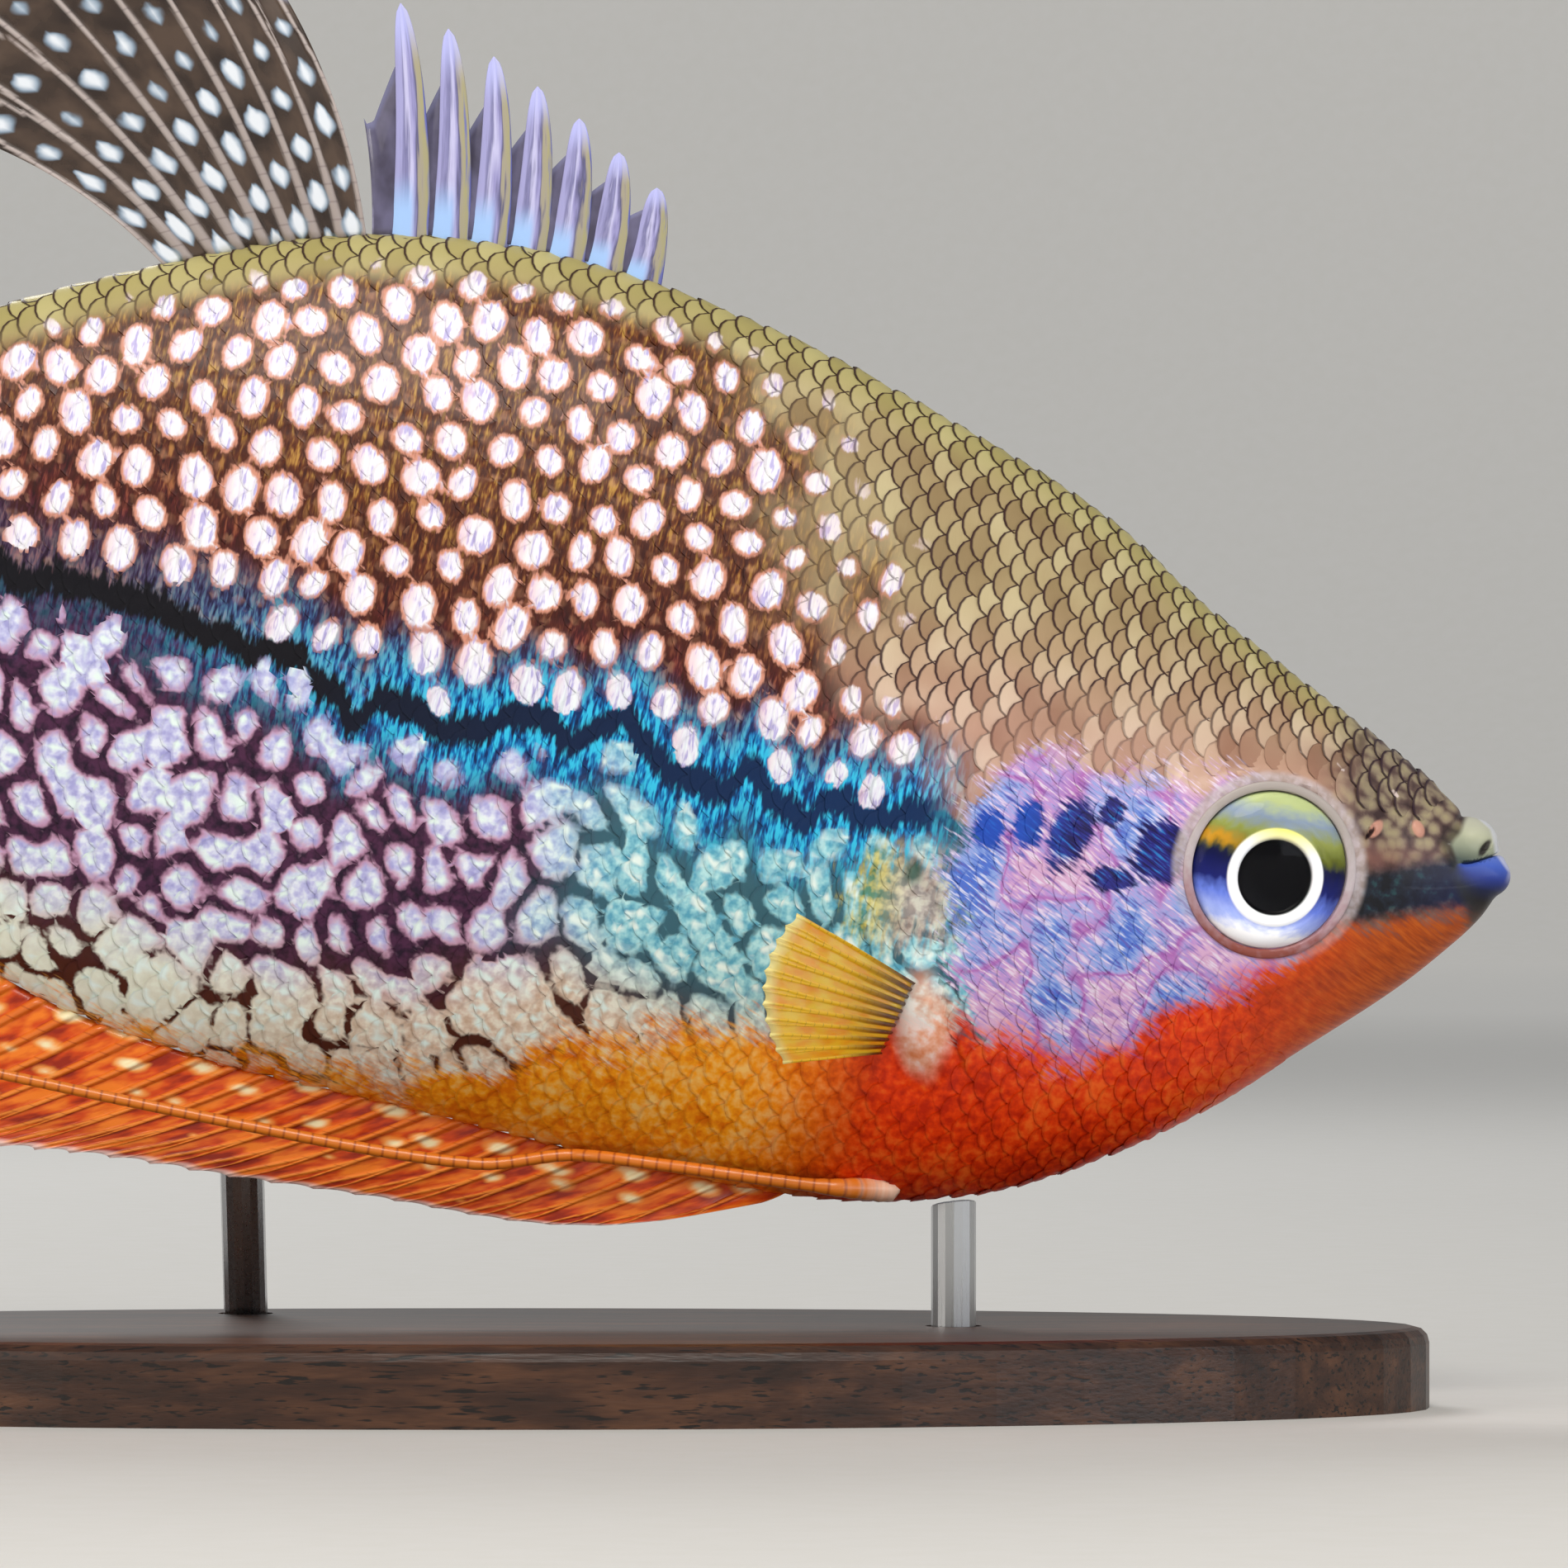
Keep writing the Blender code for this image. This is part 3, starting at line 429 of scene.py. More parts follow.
LIP_END = ((-4.2, -2.4, -0.8, 0.5, 2.2), (0.8, 1.3, 2.5, 3.2, 2.45))
LIP_FRONT = ((-2.3, -1.2, -0.3, 0.5, 0.85, 1.6, 2.1), (0.75, 0.05, -0.1, 0.75, 0.85, 1.2, 2.0))
FIN_PATCH = (26.9, -12.9, 1.5, 2.9, -0.25)
SHOULDER, GREEN_SPOT = (28.9, -7.0, 2.7, 2.8, 0.3), (28.8, -5.7, 0.55, 0.75, 0.0)


def head_end(h):
    """Where the gill cover's rear edge is, by height."""
    return HEAD_END - HEAD_END_CURVE * (h - HEAD_END_LEVEL) ** 2


def off_eye(s, h):
    """Distance from the middle of the eye in the side view."""
    return np.hypot(s - EYE_PLACE[0], h - EYE_PLACE[1])


def oval(s, h, place):
    """Distance from the middle of a tilted oval, as a share of its half widths."""
    middle_s, middle_h, half_s, half_h, tilt = place
    along, over = s - middle_s, h - middle_h
    turned_s = along * math.cos(tilt) + over * math.sin(tilt)
    turned_h = over * math.cos(tilt) - along * math.sin(tilt)
    return np.hypot(turned_s / half_s, turned_h / half_h)


print("the gill cover ends", round(float(head_end(-9.0)), 1), "mm behind the lip at its middle")

# %% Random hills and lattices
TABLE = 128


def wander(u, v, size, layer):
    """Smooth random hills between -1 and 1, about as wide as size."""
    table = np.random.default_rng(SEED + layer).uniform(-1, 1, (TABLE, TABLE))
    u, v = np.asarray(u) / size, np.asarray(v) / size
    i, j = np.floor(u).astype(int), np.floor(v).astype(int)
    a, b = u - i, v - j
    a, b = a * a * (3 - 2 * a), b * b * (3 - 2 * b)
    left, right, low, high = i % TABLE, (i + 1) % TABLE, j % TABLE, (j + 1) % TABLE
    below = table[left, low] * (1 - a) + table[right, low] * a
    return below * (1 - b) + (table[left, high] * (1 - a) + table[right, high] * a) * b


def cells(u, v, spacing, jitter, layer):
    """The ways from each place to nine near middles of an uneven staggered lattice, and their draws."""
    draws = np.random.default_rng(SEED + layer).random((TABLE, TABLE, 5))
    found = []
    for row_step in (-1, 0, 1):
        row = np.round(v / spacing[1]).astype(int) + row_step
        half = 0.5 * (row % 2)
        middle = np.round(u / spacing[0] - half).astype(int)
        for column in (middle - 1, middle, middle + 1):
            draw = draws[row % TABLE, column % TABLE]
            away_u = u - (column + half + jitter * (draw[..., 0] - 0.5)) * spacing[0]
            away_v = v - (row + jitter * (draw[..., 1] - 0.5)) * spacing[1]
            found.append((away_u, away_v, draw))
    return [np.stack(part) for part in zip(*found)]


def rise_over(value, low, high):
    """Zero below low, one above high, and a smooth climb between."""
    t = np.clip((value - low) / (high - low), 0, 1)
    return t * t * (3 - 2 * t)


print("hills from -1 to 1, such as", round(float(wander(3.3, 4.4, 1.0, 0)), 2))

# %% Pearls and blots
PEARL_SPACING, PEARL_HALF = (2.4, 2.14), (0.82, 1.02)
CHIP_SPACING, PEBBLE_SPACING = (1.17, 1.03), (0.72, 0.66)
BLOT_SPACING, BLOT_GAP = (2.0, 2.65), 0.17
GLINT_SPACING = (0.8, 0.9)


def pearls(s, girth, presence):
    """How far each place is outside the nearest pearl, and how far behind and over its middle."""
    u, v = s + 0.45 * wander(s, girth, 7.0, 1), girth + 0.45 * wander(s, girth, 7.0, 2)
    away_u, away_v, draw = cells(u, v, PEARL_SPACING, 0.26, 3)
    size = (0.84 + 0.3 * draw[..., 2]) * (0.38 + 0.64 * presence**0.7)
    lumps = 0.09 * np.sin(2 * np.arctan2(away_v, away_u) + 6.3 * draw[..., 4])
    away = (np.hypot(away_u / PEARL_HALF[0], away_v / PEARL_HALF[1]) + lumps - size) * PEARL_HALF[0]
    nearest = away.argmin(0)[None]
    return [np.take_along_axis(part, nearest, 0)[0] for part in (away, away_u, away_v)]


def over_stripe_line(s, h):
    """How far a place is over the ragged middle of the stripe."""
    return h - np.interp(s, *STRIPE_LINE) + 0.9 * wander(s, 0 * s, 1.5, 12) + 0.5 * wander(s, 0 * s, 0.8, 13)


def blots(s, girth, h, low):
    """How far each place is outside its blot. A blot fills a cell of a lattice, or two that are joined."""
    u = s + 0.6 * wander(s, girth, 4.0, 4) - 0.3 * girth
    v = girth + 0.7 * wander(s, girth, 5.0, 5) + 0.26 * s
    away_u, away_v, draw = cells(u, v, BLOT_SPACING, 0.7, 6)
    away_v = away_v * BLOT_SPACING[0] / BLOT_SPACING[1] * 1.1
    far = np.hypot(away_u, away_v)
    own = far.argmin(0)[None]
    own_u, own_v, own_far = [np.take_along_axis(part, own, 0) for part in (away_u, away_v, far)]
    own_draw = np.take_along_axis(draw, own[..., None], 0)
    span = np.hypot(away_u - own_u, away_v - own_v)
    to_edge = (far**2 - own_far**2) / (2 * np.maximum(span, 0.2))
    joined = (draw[..., 2] + own_draw[..., 2]) % 1.0 < 0.13 + 0.2 * low
    to_edge = np.where((span < 0.01) | joined, 6.0, to_edge)
    depth = -0.2 * np.log(np.exp(-np.clip(to_edge, 0, 6) / 0.2).sum(0))
    gap = BLOT_GAP * (1 - 0.5 * low) + 0.24 * (own_draw[0, ..., 3] - 0.4)
    up = own_v[0] * BLOT_SPACING[1] / BLOT_SPACING[0] / 1.1
    back = (own_u[0] + 0.3 * up) / 1.078
    gap = np.where(over_stripe_line(s - back, h - up + 0.26 * back) > -1.1, 9.0, gap)
    return gap - depth + 0.12 * wander(s, girth, 0.7, 7)


def nearest_middle(s, girth, spacing, jitter, layer):
    """How far the nearest middle of a lattice is."""
    away_u, away_v, _ = cells(s, girth, spacing, jitter, layer)
    return np.hypot(away_u, away_v).min(0)


print("a pearl is about", round(2 * PEARL_HALF[0], 1), "by", round(2 * PEARL_HALF[1], 1), "mm")

# %% What each point notes


def notes_of(s, side, h, girth=None, rim=9.0, tone=0.5):
    """What every point of the flesh tells its material."""
    girth = girth_of(s, h) if girth is None else girth
    under_ridge = np.interp(s, table_s, ridge_girth) - girth
    rough = 0.5 * wander(s, girth, 1.6, 10) + 0.25 * wander(s, girth, 0.7, 11)
    over_orange = h - np.interp(s, *ORANGE_BORDER) + 1.5 * rough
    level = h - np.interp(s, *STRIPE_LINE)
    off_stripe = over_stripe_line(s, h)
    behind = s - head_end(h)
    fade = 3.0 * wander(s, girth, 3.0, 14)
    presence = rise_over(s - np.interp(h, *PEARLS_START) + fade, -3.5, 8.0) * rise_over(under_ridge, 1.2, 4.5)
    pearl, pearl_back, pearl_up = pearls(s, girth, presence)
    pearl = np.where(np.abs(over_stripe_line(s - pearl_back, h - pearl_up)) < 1.05, 9.0, pearl)
    low = rise_over(-over_orange, -7.0, -2.5)
    teal = rise_over(-s + 2.0 * rough, -49.0, -42.0) * rise_over(level, -13.5, -9.0)
    chip = nearest_middle(s + 0.1 * rough, girth, CHIP_SPACING, 0.5, 15)
    chip = np.where(s < 11.5, nearest_middle(s, girth, PEBBLE_SPACING, 0.95, 19), chip)
    # Middles of the small painted highlights on the blots.
    drop = nearest_middle(s, girth, GLINT_SPACING, 0.7, 16)
    cheek_end = -behind - 0.02 * (h + 6.0) ** 2 + 1.2 * rough
    cheek = np.minimum(np.interp(s, *CHEEK_TOP) - h + 1.6 * rough, np.where(h < 5, cheek_end, -9.0))
    blotch = np.min([np.hypot((s - a) / c, (h - b) / d) - 1 for a, b, c, d in BLOTCHES], axis=0) + 0.5 * rough
    nostril = np.min([oval(s, h, place) for place in NOSTRILS], axis=0)
    slit, slot = oval(s, h, NOSTRIL_SLIT), oval(s, h, MOUTH_SLOT)
    pore = np.min([oval(s, h, place) for place in PORES], axis=0)
    behind_lip = s - np.interp(h, *LIP_END) + 0.3 * rough
    over_mouth = h - np.interp(s, *MOUTH_LINE)
    in_front = s - np.interp(h, *LIP_FRONT)
    at_fin = oval(s, h, FIN_PATCH) + 0.3 * rough
    shoulder, green = oval(s, h, SHOULDER) + 0.4 * rough, oval(s, h, GREEN_SPOT) + 0.5 * rough
    cloud = 0.6 * wander(s, girth, 2.6, 17) + 0.4 * wander(s, girth, 1.2, 18)
    return {
        "fish_place": np.stack([s, girth, 40.0 * np.sign(side)], -1),
        "border_notes": np.stack([over_orange, off_stripe, level + 0.6 * rough], -1),
        "flank_notes": np.stack([pearl, pearl_back, shoulder], -1),
        "blot_notes": np.stack([blots(s, girth, h, low), chip, drop], -1),
        "zone_notes": np.stack([presence, teal, low], -1),
        "head_notes": np.stack([cheek, blotch, off_eye(s, h)], -1),
        "cloud_notes": np.stack([cloud, under_ridge, h], -1),
        "scale_notes": np.stack([np.broadcast_to(rim, s.shape), np.broadcast_to(tone, s.shape), nostril], -1),
        "mouth_notes": np.stack([behind_lip, over_mouth, in_front], -1),
        "patch_notes": np.stack([np.minimum(slit, slot), pore, at_fin], -1), "green_note": green,
    }


print("every point of the flesh notes ten vectors and one number")

# %% [markdown]
# Skin
#
# The flesh is one closed skin, so that no seam shows. A skin is found here as a sculptor would say it: a
# body, plus lips, minus the mouth and nostrils. A formula says for any place whether it is inside, and each
# point slides out along its own ray until it meets the surface. Rings lie closest round the mouth, nostrils
# and eyes.

# %% Form of the skin
EYE_RADIUS = 3.9
EYE_FORWARD, EYE_DOWN = math.radians(13.0), math.radians(3.0)
EYE_LOOK = np.array(
    (
        -math.sin(EYE_FORWARD) * math.cos(EYE_DOWN), math.cos(EYE_FORWARD) * math.cos(EYE_DOWN),
        -math.sin(EYE_DOWN),
    ),
)
UPPER_LIP = ((2.15, 0.92), (1.33, 1.5, 1.14))
LOWER_LIP = ((1.1, -0.62), (1.22, 1.4, 1.12))
MOUTH_CORNER, MOUTH_GAP, MOUTH_DEPTH = 2.5, 0.06, 0.5
PECTORAL_PLACE = (28.3, -12.9)
SKIN_SINK = 0.15
EYE_ZONE, EYE_RIM, EYE_RIM_ZONE, SOCKET_DEPTH = (-7.4, -6.2), 0.16, (-6.8, -4.5), 0.8
NOSTRIL_RIM, SLIT_DEPTH, FIN_MUSCLE, FIN_MUSCLE_ZONE = 0.17, 0.4, 0.5, (-1.25, -0.3)
FLAP_LENGTH, FLAP_RISE, FLAP_STEP, CHEEK_RIDGE, CHEEK_RIDGE_PLACE = 5.0, 0.24, 0.1, 0.07, 8.6


def blend_over(a, b, width):
    """The smaller of two levels, with a soft fillet where they meet."""
    t = np.clip(0.5 + 0.5 * (b - a) / width, 0, 1)
    return b + (a - b) * t - width * t * (1 - t)


def eye_plane(s, h):
    """How far out the plane of the eye's edge is, so that the skin can rise to meet it."""
    tilted = EYE_LOOK[0] * (s - EYE_PLACE[0]) + EYE_LOOK[2] * (h - EYE_PLACE[1])
    return side_at(*EYE_PLACE) - tilted / EYE_LOOK[1]


def swell(s, h):
    """How far soft forms stand out of the body: eye rims, nostrils and the edge of the gill cover."""
    eye = off_eye(s, h)
    rise = (EYE_RIM + np.maximum(eye_plane(s, h) - side_at(s, h), 0)) * rise_over(-eye, *EYE_RIM_ZONE)
    rise -= SOCKET_DEPTH * np.clip((EYE_RADIUS + 0.03 - eye) / 0.3, 0, 1)
    for nostril in NOSTRILS:
        rise += NOSTRIL_RIM * np.exp(-(oval(s, h, nostril) ** 4))
    rise -= SLIT_DEPTH * np.clip(1.3 - oval(s, h, NOSTRIL_SLIT), 0, 1)
    rise += FIN_MUSCLE * rise_over(-oval(s, h, FIN_PATCH), *FIN_MUSCLE_ZONE)
    behind = s - head_end(h)
    flap = np.clip(1 + behind / FLAP_LENGTH, 0, 1)
    flap = flap * np.clip((16.0 + h) / 4.0, 0, 1) * np.clip((0.5 - h) / 3.0, 0, 1)
    rise += np.where(behind < 0, FLAP_RISE * flap, -FLAP_STEP * flap * np.clip(1 - behind / 1.2, 0, 1))
    ridge = CHEEK_RIDGE * np.exp(-(((behind + CHEEK_RIDGE_PLACE) / 0.5) ** 2))
    return rise + ridge * np.clip((-4.0 - h) / 2.0, 0, 1)


def skin_level(s, side, h):
    """Below zero inside the fish, above zero outside, in about millimetres near the skin."""
    middle, half = body(WIDEST, s), body(HALF_WIDTH, s)
    reach, sharpness = half_section(s, middle, h > middle)
    round_body = np.sqrt(((h - middle) / reach) ** 2 + (np.abs(side) / half) ** (2 / sharpness)) - 1
    slope = np.minimum(reach, half)
    groove = 0.12 * np.exp(-(((s - np.interp(h, *LIP_END) - 0.3) / 0.22) ** 2))
    groove = groove * np.clip((h + 0.6) / 0.6, 0, 1)
    level = np.maximum(round_body * slope, STATIONS[0, 0] - s)
    from_eye = off_eye(s, h)
    by_eye = from_eye < -EYE_ZONE[0]
    surface, normal = skin_normal(s[by_eye], h[by_eye], 1)
    true_level = (np.abs(side[by_eye]) - surface[..., 1]) * normal[..., 1]
    level[by_eye] += (true_level - level[by_eye]) * rise_over(-from_eye[by_eye], *EYE_ZONE)
    level = level + SKIN_SINK - swell(s, h)
    for (lip_s, lip_h), (a, b, c) in (UPPER_LIP, LOWER_LIP):
        lip = np.sqrt(((s - lip_s) / a) ** 2 + (side / b) ** 2 + ((h - lip_h) / c) ** 2) - 1
        level = blend_over(level, lip * a + 0.04, 0.25)
    level = level + 0.25 * np.clip(1.2 - oval(s, h, MOUTH_SLOT), 0, 1) + groove
    off_line = np.abs(h - np.interp(s, *MOUTH_LINE)) - MOUTH_GAP
    mouth = np.maximum(np.maximum(off_line, s - MOUTH_CORNER), -(level + MOUTH_DEPTH))
    return -blend_over(-level, mouth, 0.12)


print("the skin lies", SKIN_SINK, "mm inside the solids, to leave room for the scales")

# %% Skin mesh
AROUND, CAP_RINGS, CAP_CENTRE, RAY_REACH, HALVINGS = 300, 90, 6.0, 30.0, 26
RING_SPACING = ((CAP_CENTRE, 9.0, 0.13), (9.0, 17.0, 0.2), (17.0, 29.0, 0.3), (29.0, 94.7, 0.8))
turns = circle(AROUND)
tilts = (np.arange(CAP_RINGS) + 0.5) / CAP_RINGS * math.pi / 2
ring_s = np.concatenate([np.arange(a, b, step) for a, b, step in RING_SPACING])
tilt = np.concatenate([tilts, np.full(len(ring_s), math.pi / 2)])[:, None]
start_s = np.concatenate([np.full(CAP_RINGS, CAP_CENTRE), ring_s])[:, None] + 0 * turns
ray = np.stack([-np.cos(tilt) + 0 * turns, np.sin(tilt) * np.cos(turns), np.sin(tilt) * np.sin(turns)])
start = np.stack([start_s, 0 * start_s, body(WIDEST, start_s)])
near, far = np.zeros_like(start_s), np.full_like(start_s, RAY_REACH)
for _ in range(HALVINGS):
    half_way = 0.5 * (near + far)
    inside = skin_level(*(start + ray * half_way)) < 0
    near, far = np.where(inside, half_way, near), np.where(inside, far, half_way)
skin_places = np.moveaxis(start + ray * near, 0, -1).reshape(-1, 3)
rings = len(tilt)
tip, tail = skin_places[:AROUND].mean(0), skin_places[-AROUND:].mean(0)
skin_places = np.concatenate([skin_places, [tip, tail]])
k = np.arange(AROUND)
following = (k + 1) % AROUND
tip_faces = np.stack([k, 0 * k + len(skin_places) - 2, following], -1)
last_ring = (rings - 1) * AROUND
tail_faces = np.stack([last_ring + k, last_ring + following, 0 * k + len(skin_places) - 1], -1)
skin_faces = [grid_faces(rings, AROUND, closed=True), np.concatenate([tip_faces, tail_faces])]
print("rings of the skin:", rings)

# %% [markdown]
# Lattice of the scales
#
# Real scales grow in rows along the body, each row half a step off the next, like roof tiles. A plate is a
# thin shield: its root dips into the skin under the scale in front, and its round free edge lies on the scale
# behind. All plates are made at once with arrays, and each point is placed on the unrolled skin, so plates
# bend with it. Underneath, each closes in a blunt cone that is never seen.

# %% Scale places
ALONG_ROW = ((4, 8, 20, 34, 50, 95), (0.86, 1.04, 1.22, 1.34, 1.40, 1.34))
ROW_SPACING, ROWS, FIRST_SCALE, LAST_SCALE = 0.94, 35, 4.4, 94.0
EYE_CLEAR, SNOUT_BARE, OPENING_BARE = 5.2, (9.5, 1.9), ((-0.5, 0.35), (-14.5, -1.0))
row_s = [FIRST_SCALE]
while row_s[-1] < LAST_SCALE:
    row_s.append(row_s[-1] + 0.5 * float(np.interp(row_s[-1], *ALONG_ROW)))
row_s = np.array(row_s)
scale_s, scale_girth = [], []
for row in range(-ROWS, ROWS + 1):
    along = row_s[row % 2 :: 2]
    scale_s.append(along)
    scale_girth.append(np.full(len(along), row * ROW_SPACING))
scale_s, scale_girth = np.concatenate(scale_s), np.concatenate(scale_girth)
off_ridge = scale_girth < np.interp(scale_s, table_s, ridge_girth) - 0.15
off_keel = scale_girth > np.interp(scale_s, table_s, keel_girth) + 0.15
on_skin = off_ridge & off_keel
scale_s, scale_girth = scale_s[on_skin], scale_girth[on_skin]
scale_h = skin_point(scale_s, scale_girth, 1)[:, 2]
from_eye = off_eye(scale_s, scale_h)
behind_gill = scale_s - head_end(scale_h)
(gill_front, gill_back), (gill_low, gill_top) = OPENING_BARE
at_opening = (behind_gill > gill_front) & (behind_gill < gill_back)
at_opening = at_opening & (scale_h < gill_top) & (scale_h > gill_low)
at_fin = np.hypot((scale_s - PECTORAL_PLACE[0]) / 1.1, (scale_h - PECTORAL_PLACE[1]) / 2.3) < 1
on_snout = (scale_s < SNOUT_BARE[0]) & (scale_h < SNOUT_BARE[1])
kept = (from_eye > EYE_CLEAR) & ~at_opening & ~at_fin & ~on_snout & (oval(scale_s, scale_h, FIN_PATCH) > 0.95)
scale_s, scale_girth, scale_h, from_eye = scale_s[kept], scale_girth[kept], scale_h[kept], from_eye[kept]
thinning = 0.85 * np.clip(1 - (scale_s - SNOUT_BARE[0]) / 6.0, 0, 1) * (scale_h < -2)
thinning = np.maximum(thinning, 0.8 * np.clip((6.3 - from_eye) / 1.1, 0, 1))
thinning = np.maximum(thinning, 0.8 * np.clip(2.0 - oval(scale_s, scale_h, FIN_PATCH), 0, 1))
print("scales on one side:", len(scale_s))

# %% Shape of one scale
ACROSS = np.array((-1.0, -0.72, -0.38, 0.0, 0.38, 0.72, 1.0))
ROOT_TO_EDGE = np.array((0.0, 0.42, 0.74, 0.91, 1.0))
ROOT_BACK, EDGE_SIDE, EDGE_TIP = -0.78, 0.06, 0.66  # shares of the step along the row
HALF_WIDTH_SHARE, SUNK_ROOT, PROUD_EDGE, CROWN = 1.04, -0.05, 0.13, 0.05
share, across = np.meshgrid(ROOT_TO_EDGE, ACROSS, indexing="ij")
edge_x = EDGE_SIDE + (EDGE_TIP - EDGE_SIDE) * np.sqrt(1 - 0.97 * across**2)
root_x = ROOT_BACK + 0.25 * across**2
plate_x = (root_x + (edge_x - root_x) * share).ravel()
plate_y = (across * (HALF_WIDTH_SHARE - 0.3 * (1 - share) ** 2)).ravel()
plate_z = (SUNK_ROOT + (PROUD_EDGE - SUNK_ROOT) * share - CROWN * across**2).ravel()
plate_rim = ((edge_x - root_x) * (1 - share)).ravel()
rows, columns = len(ROOT_TO_EDGE), len(ACROSS)
outline = grid_rim(rows, columns)
plate_quads = grid_faces(rows, columns)
plate_fan = np.stack([np.roll(outline, -1), outline, np.full(len(outline), rows * columns)], -1)
BOTTOM_DEPTH = -0.2
plate_x = np.append(plate_x, plate_x.mean())
plate_y = np.append(plate_y, 0.0)
plate_z = np.append(plate_z, BOTTOM_DEPTH)
plate_rim = np.append(plate_rim, 0.5)
print("triangles in one scale:", 2 * len(plate_quads) + len(plate_fan))

# %% [markdown]
# The skin's paint
#
# A living fish gets its colour from pigment cells in the skin under clear scales, and its shine from a slime
# coat. The material paints zone over zone, as an airbrush artist would: nape, pearls, stripe, lower flank,
# cheek, breast and lips. Three fine noises are left to the material: streaks, speckles and the slanting
# hatches of the cheek.

# %% Skin material: shared fields
skin_paint, shader, add = new_material("scaled fish skin under slime")
place, s_mm, _, _ = noted(add, "fish_place")
_, over_orange, off_stripe, over_stripe = noted(add, "border_notes")
_, pearl_away, pearl_back, shoulder = noted(add, "flank_notes")
_, blot_away, chip_away, glint_away = noted(add, "blot_notes")
_, presence, teal, low = noted(add, "zone_notes")
_, in_cheek, blotch_away, eye_distance = noted(add, "head_notes")
_, cloud, under_ridge, height = noted(add, "cloud_notes")
_, rim, tone, nostril = noted(add, "scale_notes")
_, behind_lip, over_mouth, in_front = noted(add, "mouth_notes")
_, slot, pore, at_fin = noted(add, "patch_notes")
green_spot = add("Attribute", out="Fac", attribute_name="green_note")
upright = add("VectorMath", {0: place, 1: (3.6, 0.8, 1.0)}, operation="MULTIPLY")
streak = add(
    "TexNoise", {"Vector": upright, "Scale": 1.0, "Detail": 2.0, "Roughness": 0.65}, noise_dimensions="2D"
)
speckle = add("TexNoise", {"Vector": place, "Scale": 1.9, "Detail": 2.0}, noise_dimensions="2D")
arc = add("MapRange", [rim, 0.17, 0.07], **SMOOTH)
print("streaks, speckles and eleven notes")

# %% Skin material: nape and back
nape_tone = add("Math", [cloud, 0.28, tone], operation="MULTIPLY_ADD")
nape = add("ValToRGB", [nape_tone], stops=((0.0, "#97805a"), (0.5, "#b19c72"), (1.0, "#cabb90")))
blush = add("ValToRGB", [nape_tone], stops=((0.0, "#a87468"), (0.5, "#cc9c8e"), (1.0, "#e8c8ba")))
low_nape = add("MapRange", [over_stripe, 12.0, 3.5], **SMOOTH)
nape = laid(nape, blush, low_nape, 0.75)
nape = tinted(nape, "#c2bd70", under_ridge, 4.5, 1.0, 0.5)
print("the nape is tan, and yellower along the ridge")

# %% Skin material: pearls of the upper flank
ragged = add("Math", [streak, 0.34, pearl_away], operation="MULTIPLY_ADD")
pearl = add("MapRange", [ragged, 0.1, -0.06], **SMOOTH)
halo = add("MapRange", [ragged, 0.24, 0.1], **SMOOTH)
chip = add("MapRange", [chip_away, 0.36, 0.18], **SMOOTH)
net = add("ValToRGB", [streak], stops=((0.36, "#3e1406"), (0.52, "#743a12"), (0.68, "#c09040")))
dark_net = add("ValToRGB", [streak], stops=((0.36, "#2a0a12"), (0.55, "#561820"), (0.75, "#94463c")))
net = tinted(net, dark_net, over_stripe, 12.0, 3.0)
net = laid(net, "#c08a68", chip, 0.4)
net = tinted(net, "#4a1c0c", ragged, 0.62, 0.26, 0.65)
net_on = add("MapRange", [presence, 0.3, 1.0], **SMOOTH)
flank = laid(nape, net, net_on)
flank = laid(flank, "#d8947c", halo, net_on)
pearl_white = add("ValToRGB", [streak], stops=((0.34, "#c4bcec"), (0.44, "#f6f2ff"), (0.66, "#ffffff")))
pearl_white = tinted(pearl_white, "#f4c9d2", pearl_back, 0.1, 0.6, 0.55)
seam = add("Math", [pearl_back, 0.05, 0.05], operation="COMPARE")
pearl_white = laid(pearl_white, "#8c74b4", seam, 0.14)
pearl_white = tinted(pearl_white, "#e2beb0", presence, 0.75, 0.15, 0.6, how=STRAIGHT)
pearl_on = add("MapRange", [presence, 0.04, 0.4])
pearl_share = add("Math", [pearl, pearl_on], operation="MULTIPLY")
flank = laid(flank, pearl_white, pearl_share)
arc_weight = add("MapRange", [presence, 0.1, 1.0, 0.95, 0.12])
by_cheek = add("MapRange", [in_cheek, -4.0, -0.5, 1.0, 0.35])
arc_weight = add("Math", [arc_weight, by_cheek], operation="MULTIPLY")
flank = laid(flank, "#33161c", arc, arc_weight)
print("pearls every", PEARL_SPACING[0], "mm")

# %% Skin material: lower flank
blot_edge = add("Math", [speckle, 0.3, blot_away], operation="MULTIPLY_ADD")
blot = add("MapRange", [blot_edge, 0.23, 0.04], **SMOOTH)
blot_core = add("MapRange", [blot_edge, 0.12, -0.2], **SMOOTH)
# Small mint-white painted highlights at the middles of the blots.
drop = add("MapRange", [glint_away, 0.36, 0.12], **SMOOTH)
lilac = add("ValToRGB", [speckle], stops=((0.3, "#acaae0"), (0.5, "#cccdf2"), (0.7, "#eef4ff")))
blot_paint = laid("#c694b4", lilac, blot_core)
beige = add("ValToRGB", [speckle], stops=((0.3, "#d4b69c"), (0.5, "#e6d0bc"), (0.7, "#f8f0de")))
beige = tinted(beige, "#ecf6e4", s_mm, 52.0, 66.0, 0.8, how=STRAIGHT)
blot_paint = laid(blot_paint, beige, low)
sky = add("ValToRGB", [speckle], stops=((0.3, "#5aa8c4"), (0.5, "#8ccedc"), (0.7, "#bcecf0")))
blot_paint = laid(blot_paint, sky, teal)
blot_paint = laid(blot_paint, "#eefffa", drop, blot_core)
plum = add("ValToRGB", [speckle], stops=((0.35, "#240e28"), (0.65, "#4c2444")))
plum = laid(plum, "#4e2418", low)
plum = laid(plum, "#376474", teal)
